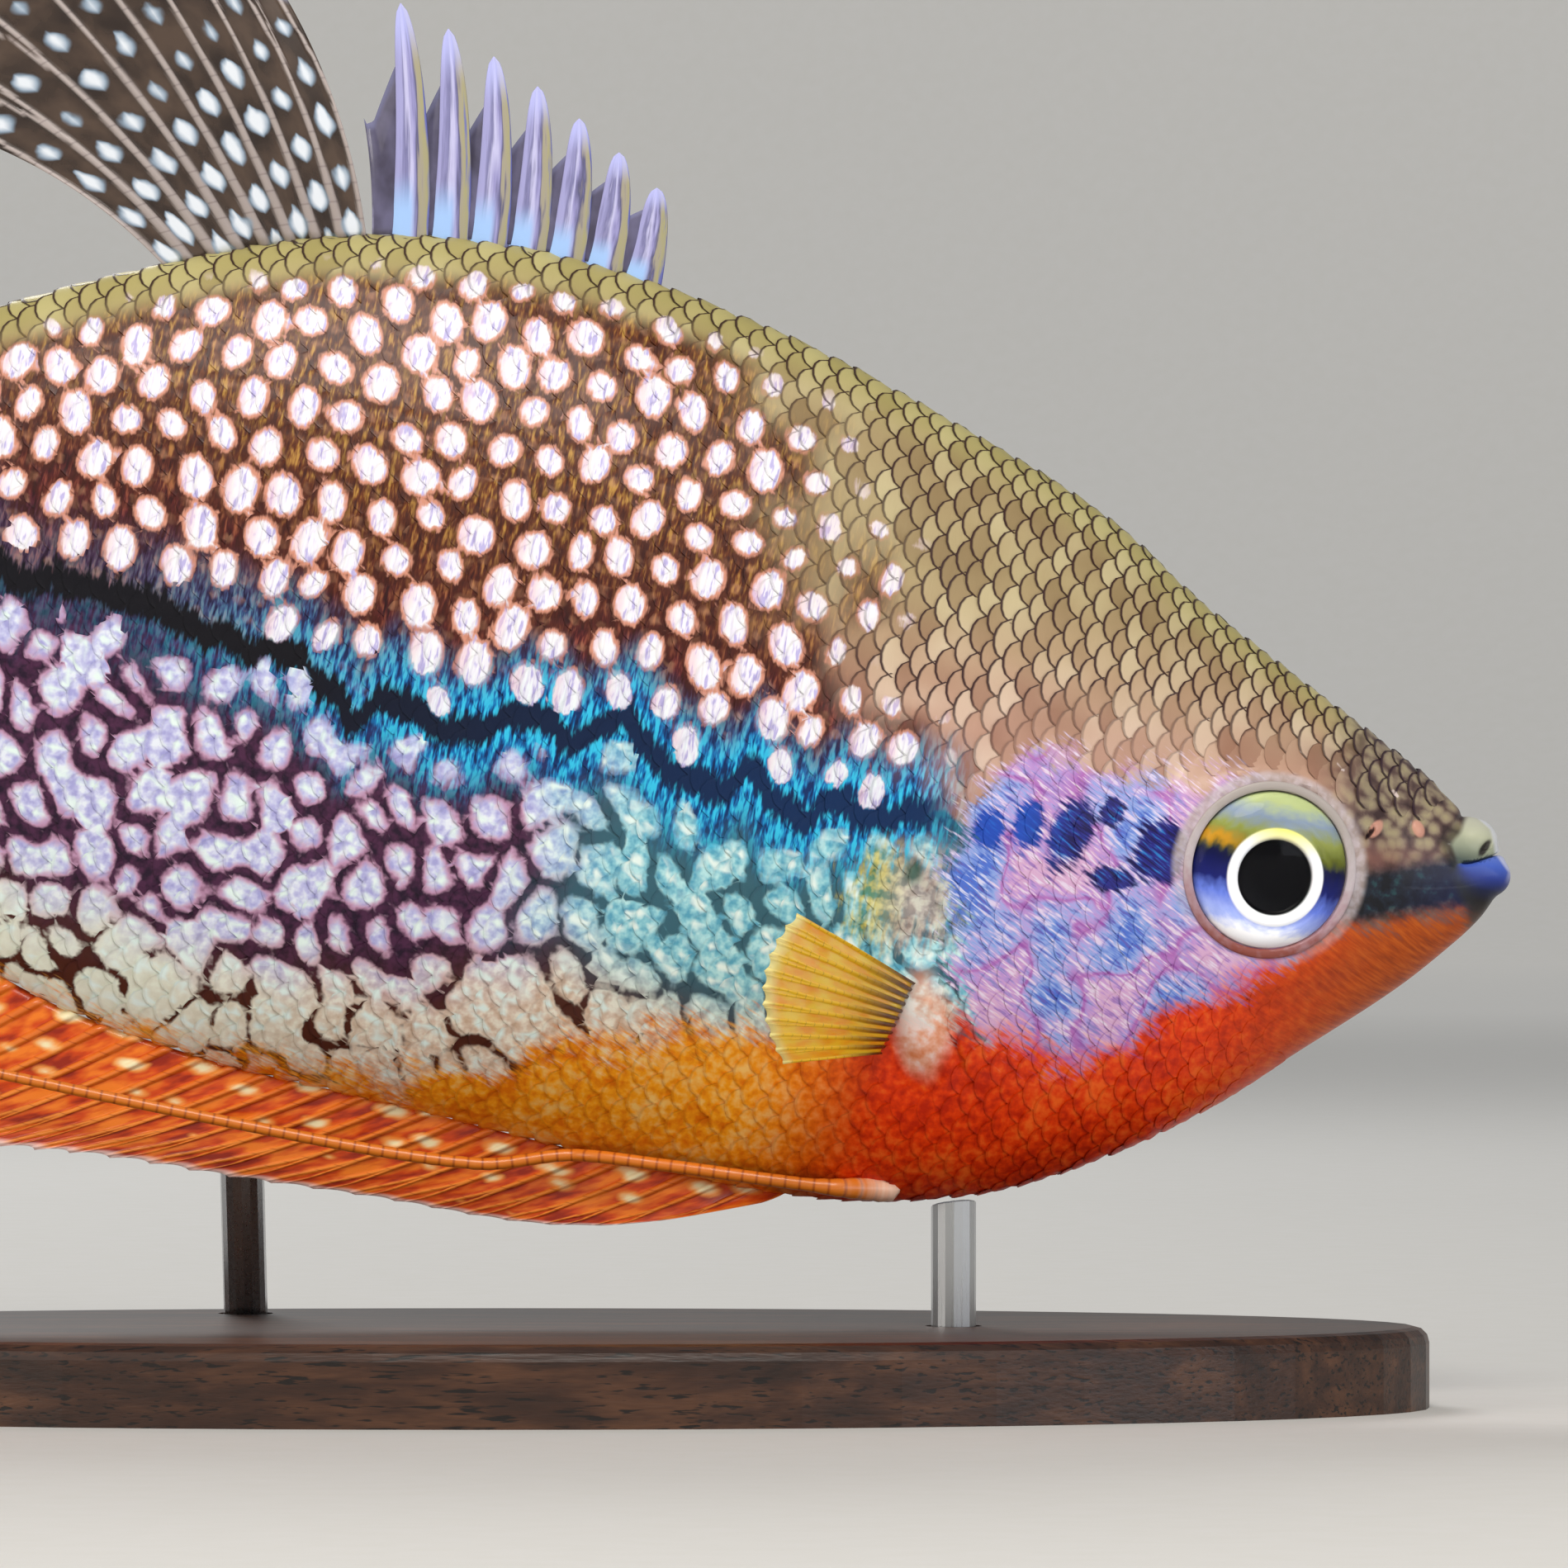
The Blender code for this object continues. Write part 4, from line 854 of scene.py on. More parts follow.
lower = laid(plum, blot_paint, blot)
lower = laid(lower, "#2a1430", arc, 0.1)
is_lower = add("MapRange", [off_stripe, 0.15, -0.15], **SMOOTH)
sides = laid(flank, lower, is_lower)
print("blots every", BLOT_SPACING[0], "mm")

# %% Skin material: stripe
from_stripe = add("Math", [off_stripe], operation="ABSOLUTE")
blues = add("ValToRGB", [streak], stops=((0.36, "#03306a"), (0.48, "#0a76bc"), (0.6, "#34c6ee")))
glow = add("MapRange", [from_stripe, 4.6, 1.0], **SMOOTH)
glow_front = add("MapRange", [s_mm, 26.0, 30.0], **SMOOTH)
glow_rear = add("MapRange", [s_mm, 72.0, 50.0, 0.12], **SMOOTH)
glow_length = add("Math", [glow_front, glow_rear], operation="MULTIPLY")
glow = add("Math", [glow, glow_length], operation="MULTIPLY")
pale = add("Mix", {0: is_lower, 2: pearl_share, 3: blot_core}, out=0)
spared = add("MapRange", [pale, 0.2, 1.0, 1.0, 0.12])
sides = laid(sides, blues, glow, spared)
frayed = add("Math", [streak, 1.5, from_stripe], operation="MULTIPLY_ADD")
stripe = add("MapRange", [frayed, 1.85, 1.25], **SMOOTH)
bare = add("MapRange", [pale, 0.0, 1.0, 1.0, 0.04])
stripe = add("Math", [stripe, bare], operation="MULTIPLY")
stripe_start = add("MapRange", [s_mm, 27.0, 29.0], **SMOOTH)
stripe = add("Math", [stripe, stripe_start], operation="MULTIPLY")
stripe_age = add("MapRange", [s_mm, 34.0, 60.0])
stripe_dark = add("ValToRGB", [stripe_age], stops=((0.0, "#042a58"), (1.0, "#0a0812")))
sides = laid(sides, stripe_dark, stripe)
shoulder = add("Math", [streak, 1.5, shoulder], operation="MULTIPLY_ADD")
shoulder_on = add("MapRange", [shoulder, 2.1, 1.2, 0.0, 0.85], **SMOOTH)
off_band = add("MapRange", [over_stripe, -1.2, -2.4])
shoulder_on = add("Math", [shoulder_on, off_band], operation="MULTIPLY")
shoulder_paint = add("ValToRGB", [speckle], stops=((0.36, "#a08a80"), (0.5, "#c4b0a4"), (0.66, "#dcd2c0")))
yellow = add("ValToRGB", [speckle], stops=((0.36, "#5c8c5c"), (0.5, "#b4ac48"), (0.66, "#dccc50")))
shoulder_paint = tinted(shoulder_paint, yellow, s_mm, 28.4, 31.0)
sides = laid(sides, shoulder_paint, shoulder_on)
sides = tinted(sides, "#0c5040", green_spot, 1.4, 0.4, 0.85)
print("the stripe zigzags along", STRIPE_LEVEL, "mm")

# %% Skin material: cheek and gill cover
slant = add(
    "Mapping", {"Vector": place, "Rotation": (0, 0, math.radians(27)), "Scale": (1.3, 0.19, 1.0)},
    vector_type="TEXTURE",
)
hatch = add(
    "TexNoise", {"Vector": slant, "Scale": 1.0, "Detail": 2.0, "Roughness": 0.6}, noise_dimensions="2D"
)
cheek_tone = add("Math", [cloud, 0.45, hatch], operation="MULTIPLY_ADD")
cheek = add(
    "ValToRGB", [cheek_tone],
    stops=((0.2, "#4f74d4"), (0.38, "#93ace8"), (0.5, "#b3a8e4"), (0.62, "#c294d6"), (0.76, "#dcb0d4")),
)
# White painted glints along the cheek's hatches, and painted shade in purple along their darker streaks.
cheek = tinted(cheek, "#f4f0ff", hatch, 0.56, 0.68, 0.6)
cheek = tinted(cheek, "#7a4a9c", hatch, 0.42, 0.33, 0.45)
vein = add("Math", [cloud, 0.12], operation="SUBTRACT")
vein = add("Math", [vein], operation="ABSOLUTE")
vein = add("Math", [hatch, 0.2, vein], operation="MULTIPLY_ADD")
cheek = tinted(cheek, "#b0209c", vein, 0.2, 0.08, 0.6)
blotch_rough = add("Math", [hatch, 1.1, blotch_away], operation="MULTIPLY_ADD")
blotch_blue = add("ValToRGB", [hatch], stops=((0.35, "#1a1450"), (0.55, "#2a2c8c"), (0.7, "#2a7cc8")))
blotch_blue = tinted(blotch_blue, "#1c54c8", s_mm, 21.5, 24.0, 0.75, how=STRAIGHT)
cheek = tinted(cheek, blotch_blue, blotch_rough, 0.75, 0.35)
cheek_rough = add("Math", [hatch, 3.0, in_cheek], operation="MULTIPLY_ADD")
cheek_on = add("MapRange", [cheek_rough, 1.3, 2.4], **SMOOTH)
cheek_start = add("MapRange", [s_mm, 8.0, 10.5], **SMOOTH)
painted = laid(sides, cheek, cheek_on, cheek_start)
print("the cheek is lilac, pink and blue with dark blotches on the stripe's line")

# %% Skin material: snout, breast and lips
pebble = add("Math", [speckle, 0.25, chip_away], operation="MULTIPLY_ADD")
snout = add(
    "ValToRGB", [pebble], stops=((0.2, "#a89a7a"), (0.36, "#968670"), (0.52, "#66524c"), (0.66, "#443434"))
)
snout = tinted(snout, "#8c5c50", height, 0.6, -1.2, 0.75)
snout = laid(snout, "#33202c", arc, 0.9)
painted = tinted(painted, snout, s_mm, 11.0, 7.5)
orange_tone = add("Math", [cloud, 0.3, speckle], operation="MULTIPLY_ADD")
amber = add("ValToRGB", [orange_tone], stops=((0.2, "#e87808"), (0.5, "#ffa418"), (0.8, "#ffc86c")))
red = add("ValToRGB", [orange_tone], stops=((0.2, "#c22400"), (0.5, "#ea3c02"), (0.8, "#f8641c")))
throat = add("ValToRGB", [hatch], stops=((0.3, "#963c04"), (0.5, "#b04a06"), (0.7, "#c05a12")))
red = tinted(red, throat, s_mm, 15.0, 4.0)
orange = tinted(amber, red, s_mm, 36.0, 28.0)
orange = laid(orange, "#7c1d04", arc, 0.22)
orange_edge = add("Math", [hatch, -3.0, over_orange], operation="MULTIPLY_ADD")
painted = tinted(painted, orange, orange_edge, -0.7, -2.6)
band_line = add("MapRange", [s_mm, 2.6, 6.9, -1.2, -2.75])
band = add("Math", [height, band_line], operation="SUBTRACT")
band = add("Math", [band], operation="ABSOLUTE")
band = add("Math", [speckle, 0.6, band], operation="MULTIPLY_ADD")
band = add("MapRange", [band, 2.2, 1.1], **SMOOTH)
band_on = add("MapRange", [s_mm, 9.2, 8.4], **SMOOTH)
band = add("Math", [band, band_on], operation="MULTIPLY")
band_paint = add("ValToRGB", [speckle], stops=((0.36, "#0e1018"), (0.6, "#1a2230"), (0.76, "#24444a")))
band_paint = tinted(band_paint, "#1c2250", s_mm, 5.5, 2.0, 0.6, how=STRAIGHT)
painted = laid(painted, band_paint, band)
painted = tinted(painted, "#dca08c", nostril, 1.15, 0.75, 0.85)
painted = tinted(painted, "#ecd8d2", pore, 1.2, 0.8, 0.85)
rim_pale = add("MapRange", [eye_distance, 4.95, 4.55, 0.0, 0.8], **SMOOTH)
rim_paint = add("ValToRGB", [speckle], stops=((0.35, "#b8a8a4"), (0.65, "#d4c8cc")))
# The pale ring fades under the eye, so its lower side stays darker as painted shade below the eye.
rim_lit_top = add("MapRange", [height, -6.0, -2.0, 0.25])
painted = laid(painted, rim_paint, rim_pale, rim_lit_top)
# The flesh at the pectoral fin's root is pink-orange, with near-white painted highlights at the light end of
# its ramp.
flesh_tone = add("Math", [cloud, 0.5, speckle], operation="MULTIPLY_ADD")
flesh_and_highlight_paint = add("ValToRGB", [flesh_tone], stops=((0.2, "#f09a68"), (0.5, "#f8c8ac"), (0.75, "#fff2ec")))
painted = tinted(painted, flesh_and_highlight_paint, at_fin, 1.15, 0.55, 0.8)
# The lower lip's ramp starts with a painted highlight along its top edge, then runs through the lip's blue to
# the dark chin.
lip_highlight_to_chin = add("MapRange", [height, 0.6, -2.6])
lower_lip = add(
    "ValToRGB", [lip_highlight_to_chin],
    stops=(
        (0.0, "#7088d4"), (0.22, "#4a66c4"), (0.42, "#2a3c90"), (0.62, "#141c40"), (0.8, "#140e10"),
        (1.0, "#2c1806"),
    ),
)
lip_pale = add("MapRange", [height, -0.1, 2.0])
upper_lip = add(
    "ValToRGB", [lip_pale], stops=((0.0, "#48544c"), (0.3, "#969d88"), (0.6, "#bcbfa4"), (1.0, "#c8c8b6"))
)
lips = tinted(lower_lip, upper_lip, over_mouth, -0.05, 0.05)
# A painted highlight, near white, along the front edge of the upper lip.
lip_edge_highlight = add("MapRange", [in_front, 0.32, 0.06], **SMOOTH)
lip_highlight_height = add("MapRange", [height, -0.9, -0.1, 0.0, 0.6])
lips = laid(lips, "#e6e8f8", lip_edge_highlight, lip_highlight_height)
# Painted shade in the groove behind the upper lip, where the lip meets the snout.
groove = add("MapRange", [behind_lip, 0.9, 0.2, 0.0, 0.75], **SMOOTH)
groove_shade_height = add("MapRange", [height, 1.9, 1.2])
painted = laid(painted, "#2a2c26", groove, groove_shade_height)
lip_softness = add("MapRange", [over_mouth, 0.0, -0.5, 0.2, 1.0])
at_lip = add("Math", [behind_lip, lip_softness], operation="DIVIDE")
painted = tinted(painted, lips, at_lip, 0.9, -0.9)
# Painted shade in the mouth's slot and the nostril's slit, dark inside these openings.
painted = tinted(painted, "#241820", slot, 1.2, 0.7, 0.9)
fill(shader, {"Base Color": painted})
print("nodes in the skin's paint:", len(skin_paint.node_tree.nodes))

# %% Skin material: slime and fine relief
bump = add("Bump", {"Strength": 0.2, "Distance": 0.05 * MM, "Height": streak})
fill(
    shader,
    {
        "Normal": bump, "Roughness": 0.42, "IOR": 1.40, "Specular IOR Level": 0.3, "Coat Weight": 0.15,
        "Coat Roughness": 0.18,
    },
)
print("roughness 0.42 under a thin wet coat")

# %% Place the skin
FLESH = ("head", "jaw", "gill_cover_right", "gill_cover_left", "trunk", "tail_stalk")
s, side, h = skin_places.T
make_piece("skin", skin_places, skin_faces, skin_paint, FLESH, notes_of(s, side, h), sharp=40)

# %% Lay the scales
PATCH, STRETCHES = 0.003, ((0, 32), (32, 46), (46, 60), (60, 96))
SIZE_SPREAD, PLACE_SPREAD, LEAST_LIFT, LIFT_SPREAD = 0.06, 0.03, 0.85, 0.3


def coat(name, chosen, side, material):
    """All plates of one stretch of one side as a joined mesh, each bent round the body."""
    step = np.interp(scale_s[chosen], *ALONG_ROW)[:, None]
    draw = np.random.default_rng(SEED + len(name) + side)
    size = 1 + SIZE_SPREAD * draw.standard_normal((chosen.sum(), 1))
    middle_s, middle_girth = scale_s[chosen][:, None], scale_girth[chosen][:, None]
    s = middle_s + plate_x * step * size + PLACE_SPREAD * draw.standard_normal((chosen.sum(), 1))
    girth = middle_girth + plate_y * ROW_SPACING * size
    flatter = 1 - thinning[chosen]
    lift = plate_z * (LEAST_LIFT + LIFT_SPREAD * draw.random((chosen.sum(), 1))) * flatter[:, None]
    base = skin_point(s, girth, side)
    along = skin_point(s + 0.3, girth, side) - skin_point(s - 0.3, girth, side)
    round_body = skin_point(s, girth + 0.3, side) - skin_point(s, girth - 0.3, side)
    normal = np.cross(along, round_body) * side
    normal /= np.linalg.norm(normal, axis=-1, keepdims=True) + 1e-9
    normal *= np.sign((normal * (base - [0, 0, -3]) * [0, 1, 1]).sum(-1, keepdims=True))
    near_eye = rise_over(-off_eye(s, base[..., 2]), *EYE_ZONE)[..., None]
    straight_out = np.array((0.0, side, 0.0)) / np.maximum(np.abs(normal[..., 1:2]), 0.3)
    out_way = normal + (straight_out - normal) * near_eye
    places = base + normal * lift[..., None] + out_way * (swell(s, base[..., 2]) - SKIN_SINK)[..., None]
    count, points = s.shape
    shift = (np.arange(count) * points)[:, None, None]
    faces = [(block[None] + shift).reshape(-1, block.shape[1]) for block in (plate_quads, plate_fan)]
    tones = np.repeat(draw.random(count), points)
    rims = np.tile(plate_rim, (count, 1)) * step + 0.3 * (1 - flatter[:, None])
    notes = notes_of(
        s.ravel(), np.full(s.size, side), base[..., 2].ravel(), girth.ravel(), rims.ravel(), tones
    )
    flat_x = 0.02 + 0.0101 * middle_s + PATCH * (plate_x - plate_x.mean()) / np.ptp(plate_x)
    flat_y = 0.25 + 0.25 * (1 + side) + 0.0078 * middle_girth + PATCH * plate_y / np.ptp(plate_y)
    unwrap = np.stack([flat_x, flat_y], -1).reshape(-1, 2)
    return make_piece(
        name, places.reshape(-1, 3), faces, material, (), notes, sharp=50, unwrap=unwrap
    )


for side, word in SIDES:
    for number, (first, last) in enumerate(STRETCHES, 1):
        coat(f"scales_{word}_{number}", (scale_s >= first) & (scale_s < last), side, skin_paint)

# %% [markdown]
# Eyes
#
# A fish's eye is a flat ball: a dark pupil in a pale ring, a metallic iris round it, and a clear cornea over
# all. The iris is a turned dish with a sunk pupil, and the cornea is its own thin dome of clear material, so
# real light glints on it. The dome throws no shadow, because light passes through a real one. A round fold of
# pale skin, the lid ring, closes the seam between the eye and its socket.

# %% Iris and cornea materials
PUPIL_RADIUS, RING_RADIUS, IRIS_RADIUS, PUPIL_PLACE = 1.84, 2.38, 3.62, (-0.25, -0.3)
eye_paint, shader, add = new_material("fish iris with guanine shine")
eye_place, radius, back, up = noted(add, "eye_place")
fibres = add("Mapping", {"Vector": eye_place, "Scale": (2.0, 1.0, 1.0)})
fibres = add("TexNoise", {"Vector": fibres, "Scale": 1.6, "Detail": 3.0}, noise_dimensions="3D")
height_share = add("Math", [fibres, 0.9, up], operation="MULTIPLY_ADD")
height_share = add("MapRange", [height_share, -3.2, 4.1])
iris = add(
    "ValToRGB", [height_share],
    stops=(
        (0.07, "#fbfcff"), (0.16, "#a2b2ee"), (0.3, "#6076d2"), (0.4, "#161c60"), (0.56, "#0d1038"),
        (0.63, "#565c1c"), (0.74, "#848c46"), (0.85, "#7c8ca4"), (0.95, "#a8b47e"),
    ),
)
flare = add("MapRange", [back, 1.2, 2.6], **SMOOTH)
flare_level = add("Math", [height_share, 0.655], operation="SUBTRACT")
flare_level = add("Math", [flare_level], operation="ABSOLUTE")
flare_level = add("MapRange", [flare_level, 0.08, 0.0], **SMOOTH)
iris = laid(iris, "#d09020", flare, flare_level, 0.7)
ring = add("MapRange", [radius, RING_RADIUS + 0.07, RING_RADIUS - 0.05], **SMOOTH)
ring_paint = tinted("#f4f6fa", "#f0e868", up, 0.9, 2.1, how=STRAIGHT)
iris = laid(iris, ring_paint, ring)
iris = tinted(iris, "#010104", radius, PUPIL_RADIUS + 0.05, PUPIL_RADIUS - 0.05)
# The eye's outer edge and side wall, sunk in the socket, are painted near black as painted shade.
iris = tinted(iris, "#141726", radius, IRIS_RADIUS + 0.12, IRIS_RADIUS + 0.24)
fill(shader, {"Base Color": iris, "Roughness": 0.3, "Specular IOR Level": 0.08})
cornea_clear, shader, add = new_material("clear cornea")
fill(shader, {"Base Color": (1.0, 1.0, 1.0, 1.0), "Transmission Weight": 1.0, "Roughness": 0.0, "IOR": 1.16})
lid_paint, shader, add = new_material("pale soft skin round the eye")
eye_place, _, _, up = noted(add, "eye_place")
grain = add("TexNoise", {"Vector": eye_place, "Scale": 1.9, "Detail": 2.0})
# The lid ring turns dark reddish at its bottom, as painted shade under the eye.
lid_shade_height = add("Math", [grain, 3.0, up], operation="MULTIPLY_ADD")
lid_shade_height = add("MapRange", [lid_shade_height, -2.6, 4.5])
lid = add(
    "ValToRGB", [lid_shade_height], stops=((0.0, "#8c4438"), (0.3, "#b08c94"), (0.6, "#c8bcc0"), (1.0, "#b4aaa4"))
)
fill(shader, {"Base Color": lid, "Roughness": 0.45})
print("pupil", 2 * PUPIL_RADIUS, "mm across")

# %% Eyes
EYE_SIDES = 96


def turned(name, profile, side, material, replaced=(), off_centre=0):
    """A piece turned round the eye's axis from (radius, height) pairs, from its middle outwards."""
    look = EYE_LOOK * (1, side, 1)
    up_way = unit(np.array((0.0, 0.0, 1.0)) - look * look[2])
    back_way = np.cross(look, up_way) * side
    centre = np.array((EYE_PLACE[0], side * float(side_at(*EYE_PLACE)), EYE_PLACE[1]))
    radius, level = np.array(profile).T[:, :, None]
    turn = circle(EYE_SIDES)
    near_middle = off_centre * np.clip((IRIS_RADIUS - radius) / (IRIS_RADIUS - RING_RADIUS), 0, 1)
    across = radius * np.cos(turn) + PUPIL_PLACE[0] * near_middle
    rise = radius * np.sin(turn) + PUPIL_PLACE[1] * near_middle
    places = centre + across[..., None] * back_way + rise[..., None] * up_way
    places = places + (level + 0 * turn)[..., None] * look
    notes = {"eye_place": np.stack([radius + 0 * turn, across, rise], -1).reshape(-1, 3)}
    faces = grid_faces(len(profile), EYE_SIDES, closed=True)
    return make_piece(name, places.reshape(-1, 3), [faces], material, replaced, notes)


CORNEA_RADIUS, CORNEA_RISE = 3.86, 1.28
dish = [
    (0.004, 0.02), (0.9, 0.03), (1.6, 0.02), (1.78, 0.06), (1.86, 0.3), (1.96, 0.42), (2.15, 0.44),
    (2.34, 0.4), (2.44, 0.33), (2.7, 0.36), (3.0, 0.33), (3.3, 0.24), (3.55, 0.12), (3.72, 0.0),
    (3.84, -0.2), (3.88, -1.4), (2.5, -2.0), (0.004, -2.0),
]
rises = np.linspace(math.pi / 2 - 0.002, 0.0, 15)
dome = [(CORNEA_RADIUS * math.cos(a), CORNEA_RISE * math.sin(a) - 0.1) for a in rises]
dome += [(CORNEA_RADIUS - 0.02, -1.6), (0.004, -1.6)]
lid_turn = math.pi * np.arange(13) / 12
lid_top = zip(4.12 - 0.22 * np.cos(lid_turn), 0.08 + 0.09 * np.sin(lid_turn))
lid_ring = [(3.9, -0.9), *lid_top, (4.34, -0.9), (3.9, -0.9)]
for side, word in SIDES:
    turned("iris_" + word, dish, side, eye_paint, ("eye_" + word,), off_centre=1)
    cornea = turned("cornea_" + word, dome, side, cornea_clear)
    cornea.visible_shadow = False
    turned("lid_" + word, lid_ring, side, lid_paint)

# %% [markdown]
# Fins
#
# A fin is a fan of bony rays in a thin skin. Each fin here is one thin sheet whose faces swell over every ray
# and thin out between them. A soft ray forks towards its tip, so its ridge parts in two there. A point of the
# sheet notes which ray it is near and how far along it lies, and the materials draw the joints and spots from
# that.

# %% Fin materials


def fin_material(name, membrane, ray, spots, tips, alpha, glow=0.0):
    """Thin fin skin between bony rays, with spots near the body and a margin of another colour.

    ray holds the colours of a joint and of the bone at its root and tip. glow stands for light that shines
    through thin skin.
    """
    made, shader, add = new_material(name)
    fin_place, share, length, number = noted(add, "fin_place")
    fish_place = add("Attribute", out="Vector", attribute_name="fish_place")
    on_ray = add("Attribute", out="Fac", attribute_name="on_ray")
    streaks = add("VectorMath", {0: fin_place, 1: (0.0, 0.4, 1.3)}, operation="MULTIPLY")
    cloud = add("TexNoise", {"Vector": streaks, "Scale": 1.0, "Detail": 3.0})
    base = add("ValToRGB", [cloud], stops=membrane)
    joints = add("Math", [length, 0.45], operation="PINGPONG")
    joints = add("MapRange", [joints, 0.0, 0.08, 0.55, 1.0])
    bone = tinted(ray[1], ray[2], share, 0.1, 0.5, how=STRAIGHT)
    bone = laid(ray[0], bone, joints)
    base = laid(base, bone, on_ray)
    if "rows" in spots:
        web_number = add("Math", [number], operation="FLOOR")
        from_middle = add("Math", [number], operation="FRACT")
        from_middle = add("Math", [from_middle, 0.5], operation="SUBTRACT")
        from_middle = add("Math", [from_middle], operation="ABSOLUTE")
        row = add("Math", [length, 1 / spots["rows"]], operation="MULTIPLY")
        row = add("Math", [web_number, spots["stagger"], row], operation="MULTIPLY_ADD")
        row = add("Math", [cloud, 0.5, row], operation="MULTIPLY_ADD")
        row = add("Math", [row], operation="FRACT")
        row = add("Math", [row, 0.5], operation="SUBTRACT")
        pointed = add("Math", [row, 0.8, 1.0], operation="MULTIPLY_ADD")
        from_middle = add("Math", [from_middle, pointed], operation="MULTIPLY")
        far = add("Math", [row, row], operation="MULTIPLY")
        far = add("Math", [far, 2.8, from_middle], operation="MULTIPLY_ADD")
    else:
        spot_place = add(
            "Mapping",
            {"Vector": fish_place, "Rotation": (0, 0, spots["turn"]), "Scale": (*spots["squash"], 1.0)},
        )
        far = add(
            "TexVoronoi", {"Vector": spot_place, "Scale": 1 / spots["spacing"], "Randomness": 0.6},
            voronoi_dimensions="2D",
        )
    grow = add("MapRange", [length, spots["start"], spots["end"], spots["size"], 0.0])
    far = add("Math", [far, grow], operation="SUBTRACT")
    far = add("Math", [cloud, 0.5, far], operation="MULTIPLY_ADD")
    spot = add("MapRange", [far, 0.16, 0.02], **SMOOTH)
    drop = tinted(spots["edge"], spots["colour"], far, 0.08, -0.12)
    base = laid(base, drop, spot)
    base = tinted(base, tips[1], share, tips[0], 1.0)
    solid = add("Math", [on_ray, spot], operation="MAXIMUM")
    clear = add("MapRange", [solid, 0.0, 1.0, alpha, 1.0])
    fill(shader, {"Base Color": base, "Emission Color": base, "Emission Strength": glow, "Alpha": clear})
    fill(shader, {"Roughness": 0.35, "IOR": 1.40, "Coat Weight": 0.2})
    made.cycles.emission_sampling = "NONE"
    return made


DROPS = {
    "edge": "#8ea2b6", "rows": 2.6, "stagger": 0.43, "start": 0.0, "end": 34.0, "size": 0.52,
    "colour": "#e8eef6",
}
NO_DROPS = {
    "edge": "#ffffff", "rows": 2.0, "stagger": 0.0, "start": 0.0, "end": 1000.0, "size": -1.0,
    "colour": "#ffffff",
}
web_paint = fin_material(
    "skin between the spines, smoky", ((0.35, "#46405a"), (0.65, "#6e6a8c")),
    ("#6a6890", "#b4b2d8", "#b4b2d8"), NO_DROPS, (0.9, "#8f8fb6"), 0.8,
)
dorsal_paint = fin_material(
    "dorsal fin skin, brown and spotted", ((0.35, "#2e2019"), (0.65, "#564438")),
    ("#6a5c60", "#a89c98", "#b8aca8"), DROPS, (0.92, "#c9cce8"), 0.85,
)
OVALS = {
    "edge": "#f09a44", "spacing": 1.75, "squash": (0.55, 1.25), "turn": 0.06, "start": 2.0, "end": 10.0,
    "size": 0.42, "colour": "#f6eabc",
}
anal_paint = fin_material(
    "anal fin skin, orange-red", ((0.36, "#9c2402"), (0.48, "#d84a04"), (0.62, "#f88420")),
    ("#8c2404", "#e07024", "#f08a30"), OVALS, (0.92, "#ffdcd4"), 0.93,
)
tail_paint = fin_material(
    "tail fin skin, spotted", ((0.35, "#5a3420"), (0.65, "#9a6a44")), ("#7a4a28", "#c89a66", "#c89a66"),
    DROPS, (0.95, "#e8c8a8"), 0.85,
)
pectoral_paint = fin_material(
    "pectoral fin skin, clear yellow", ((0.35, "#f4a408"), (0.65, "#f6d02c")),
    ("#6a3804", "#4a2404", "#e8b820"), NO_DROPS, (0.9, "#f0e090"), 0.68, 0.16,
)
print("fin materials:", dorsal_paint.name, "and four more")

# %% The sheet of a fin
GAP = 0.3
RAY_OFFSETS = np.array((0, 0.05, 0.1, 0.15, 0.2, 0.26, 0.34, 0.44, 0.56, 0.66, 0.74, 0.8, 0.85, 0.9, 0.95))


def fin_steps(count):
    """Places across a fin as ray numbers, closest together beside each ray."""
    return np.append((np.arange(count - 1)[:, None] + RAY_OFFSETS).ravel(), count - 1.0)


def ray_lines(roots, lengths, lean_root, lean_tip, rows, way):
    """Points along each ray or line between rays, which leans from its root angle to its tip angle."""
    share = (np.arange(rows) + 0.5) / rows
    angle = lean_root[:, None] + (lean_tip - lean_root)[:, None] * share
    steps = way(angle) * (lengths / rows)[:, None, None]
    return np.concatenate([roots[:, None], roots[:, None] + np.cumsum(steps, axis=1)], axis=1)


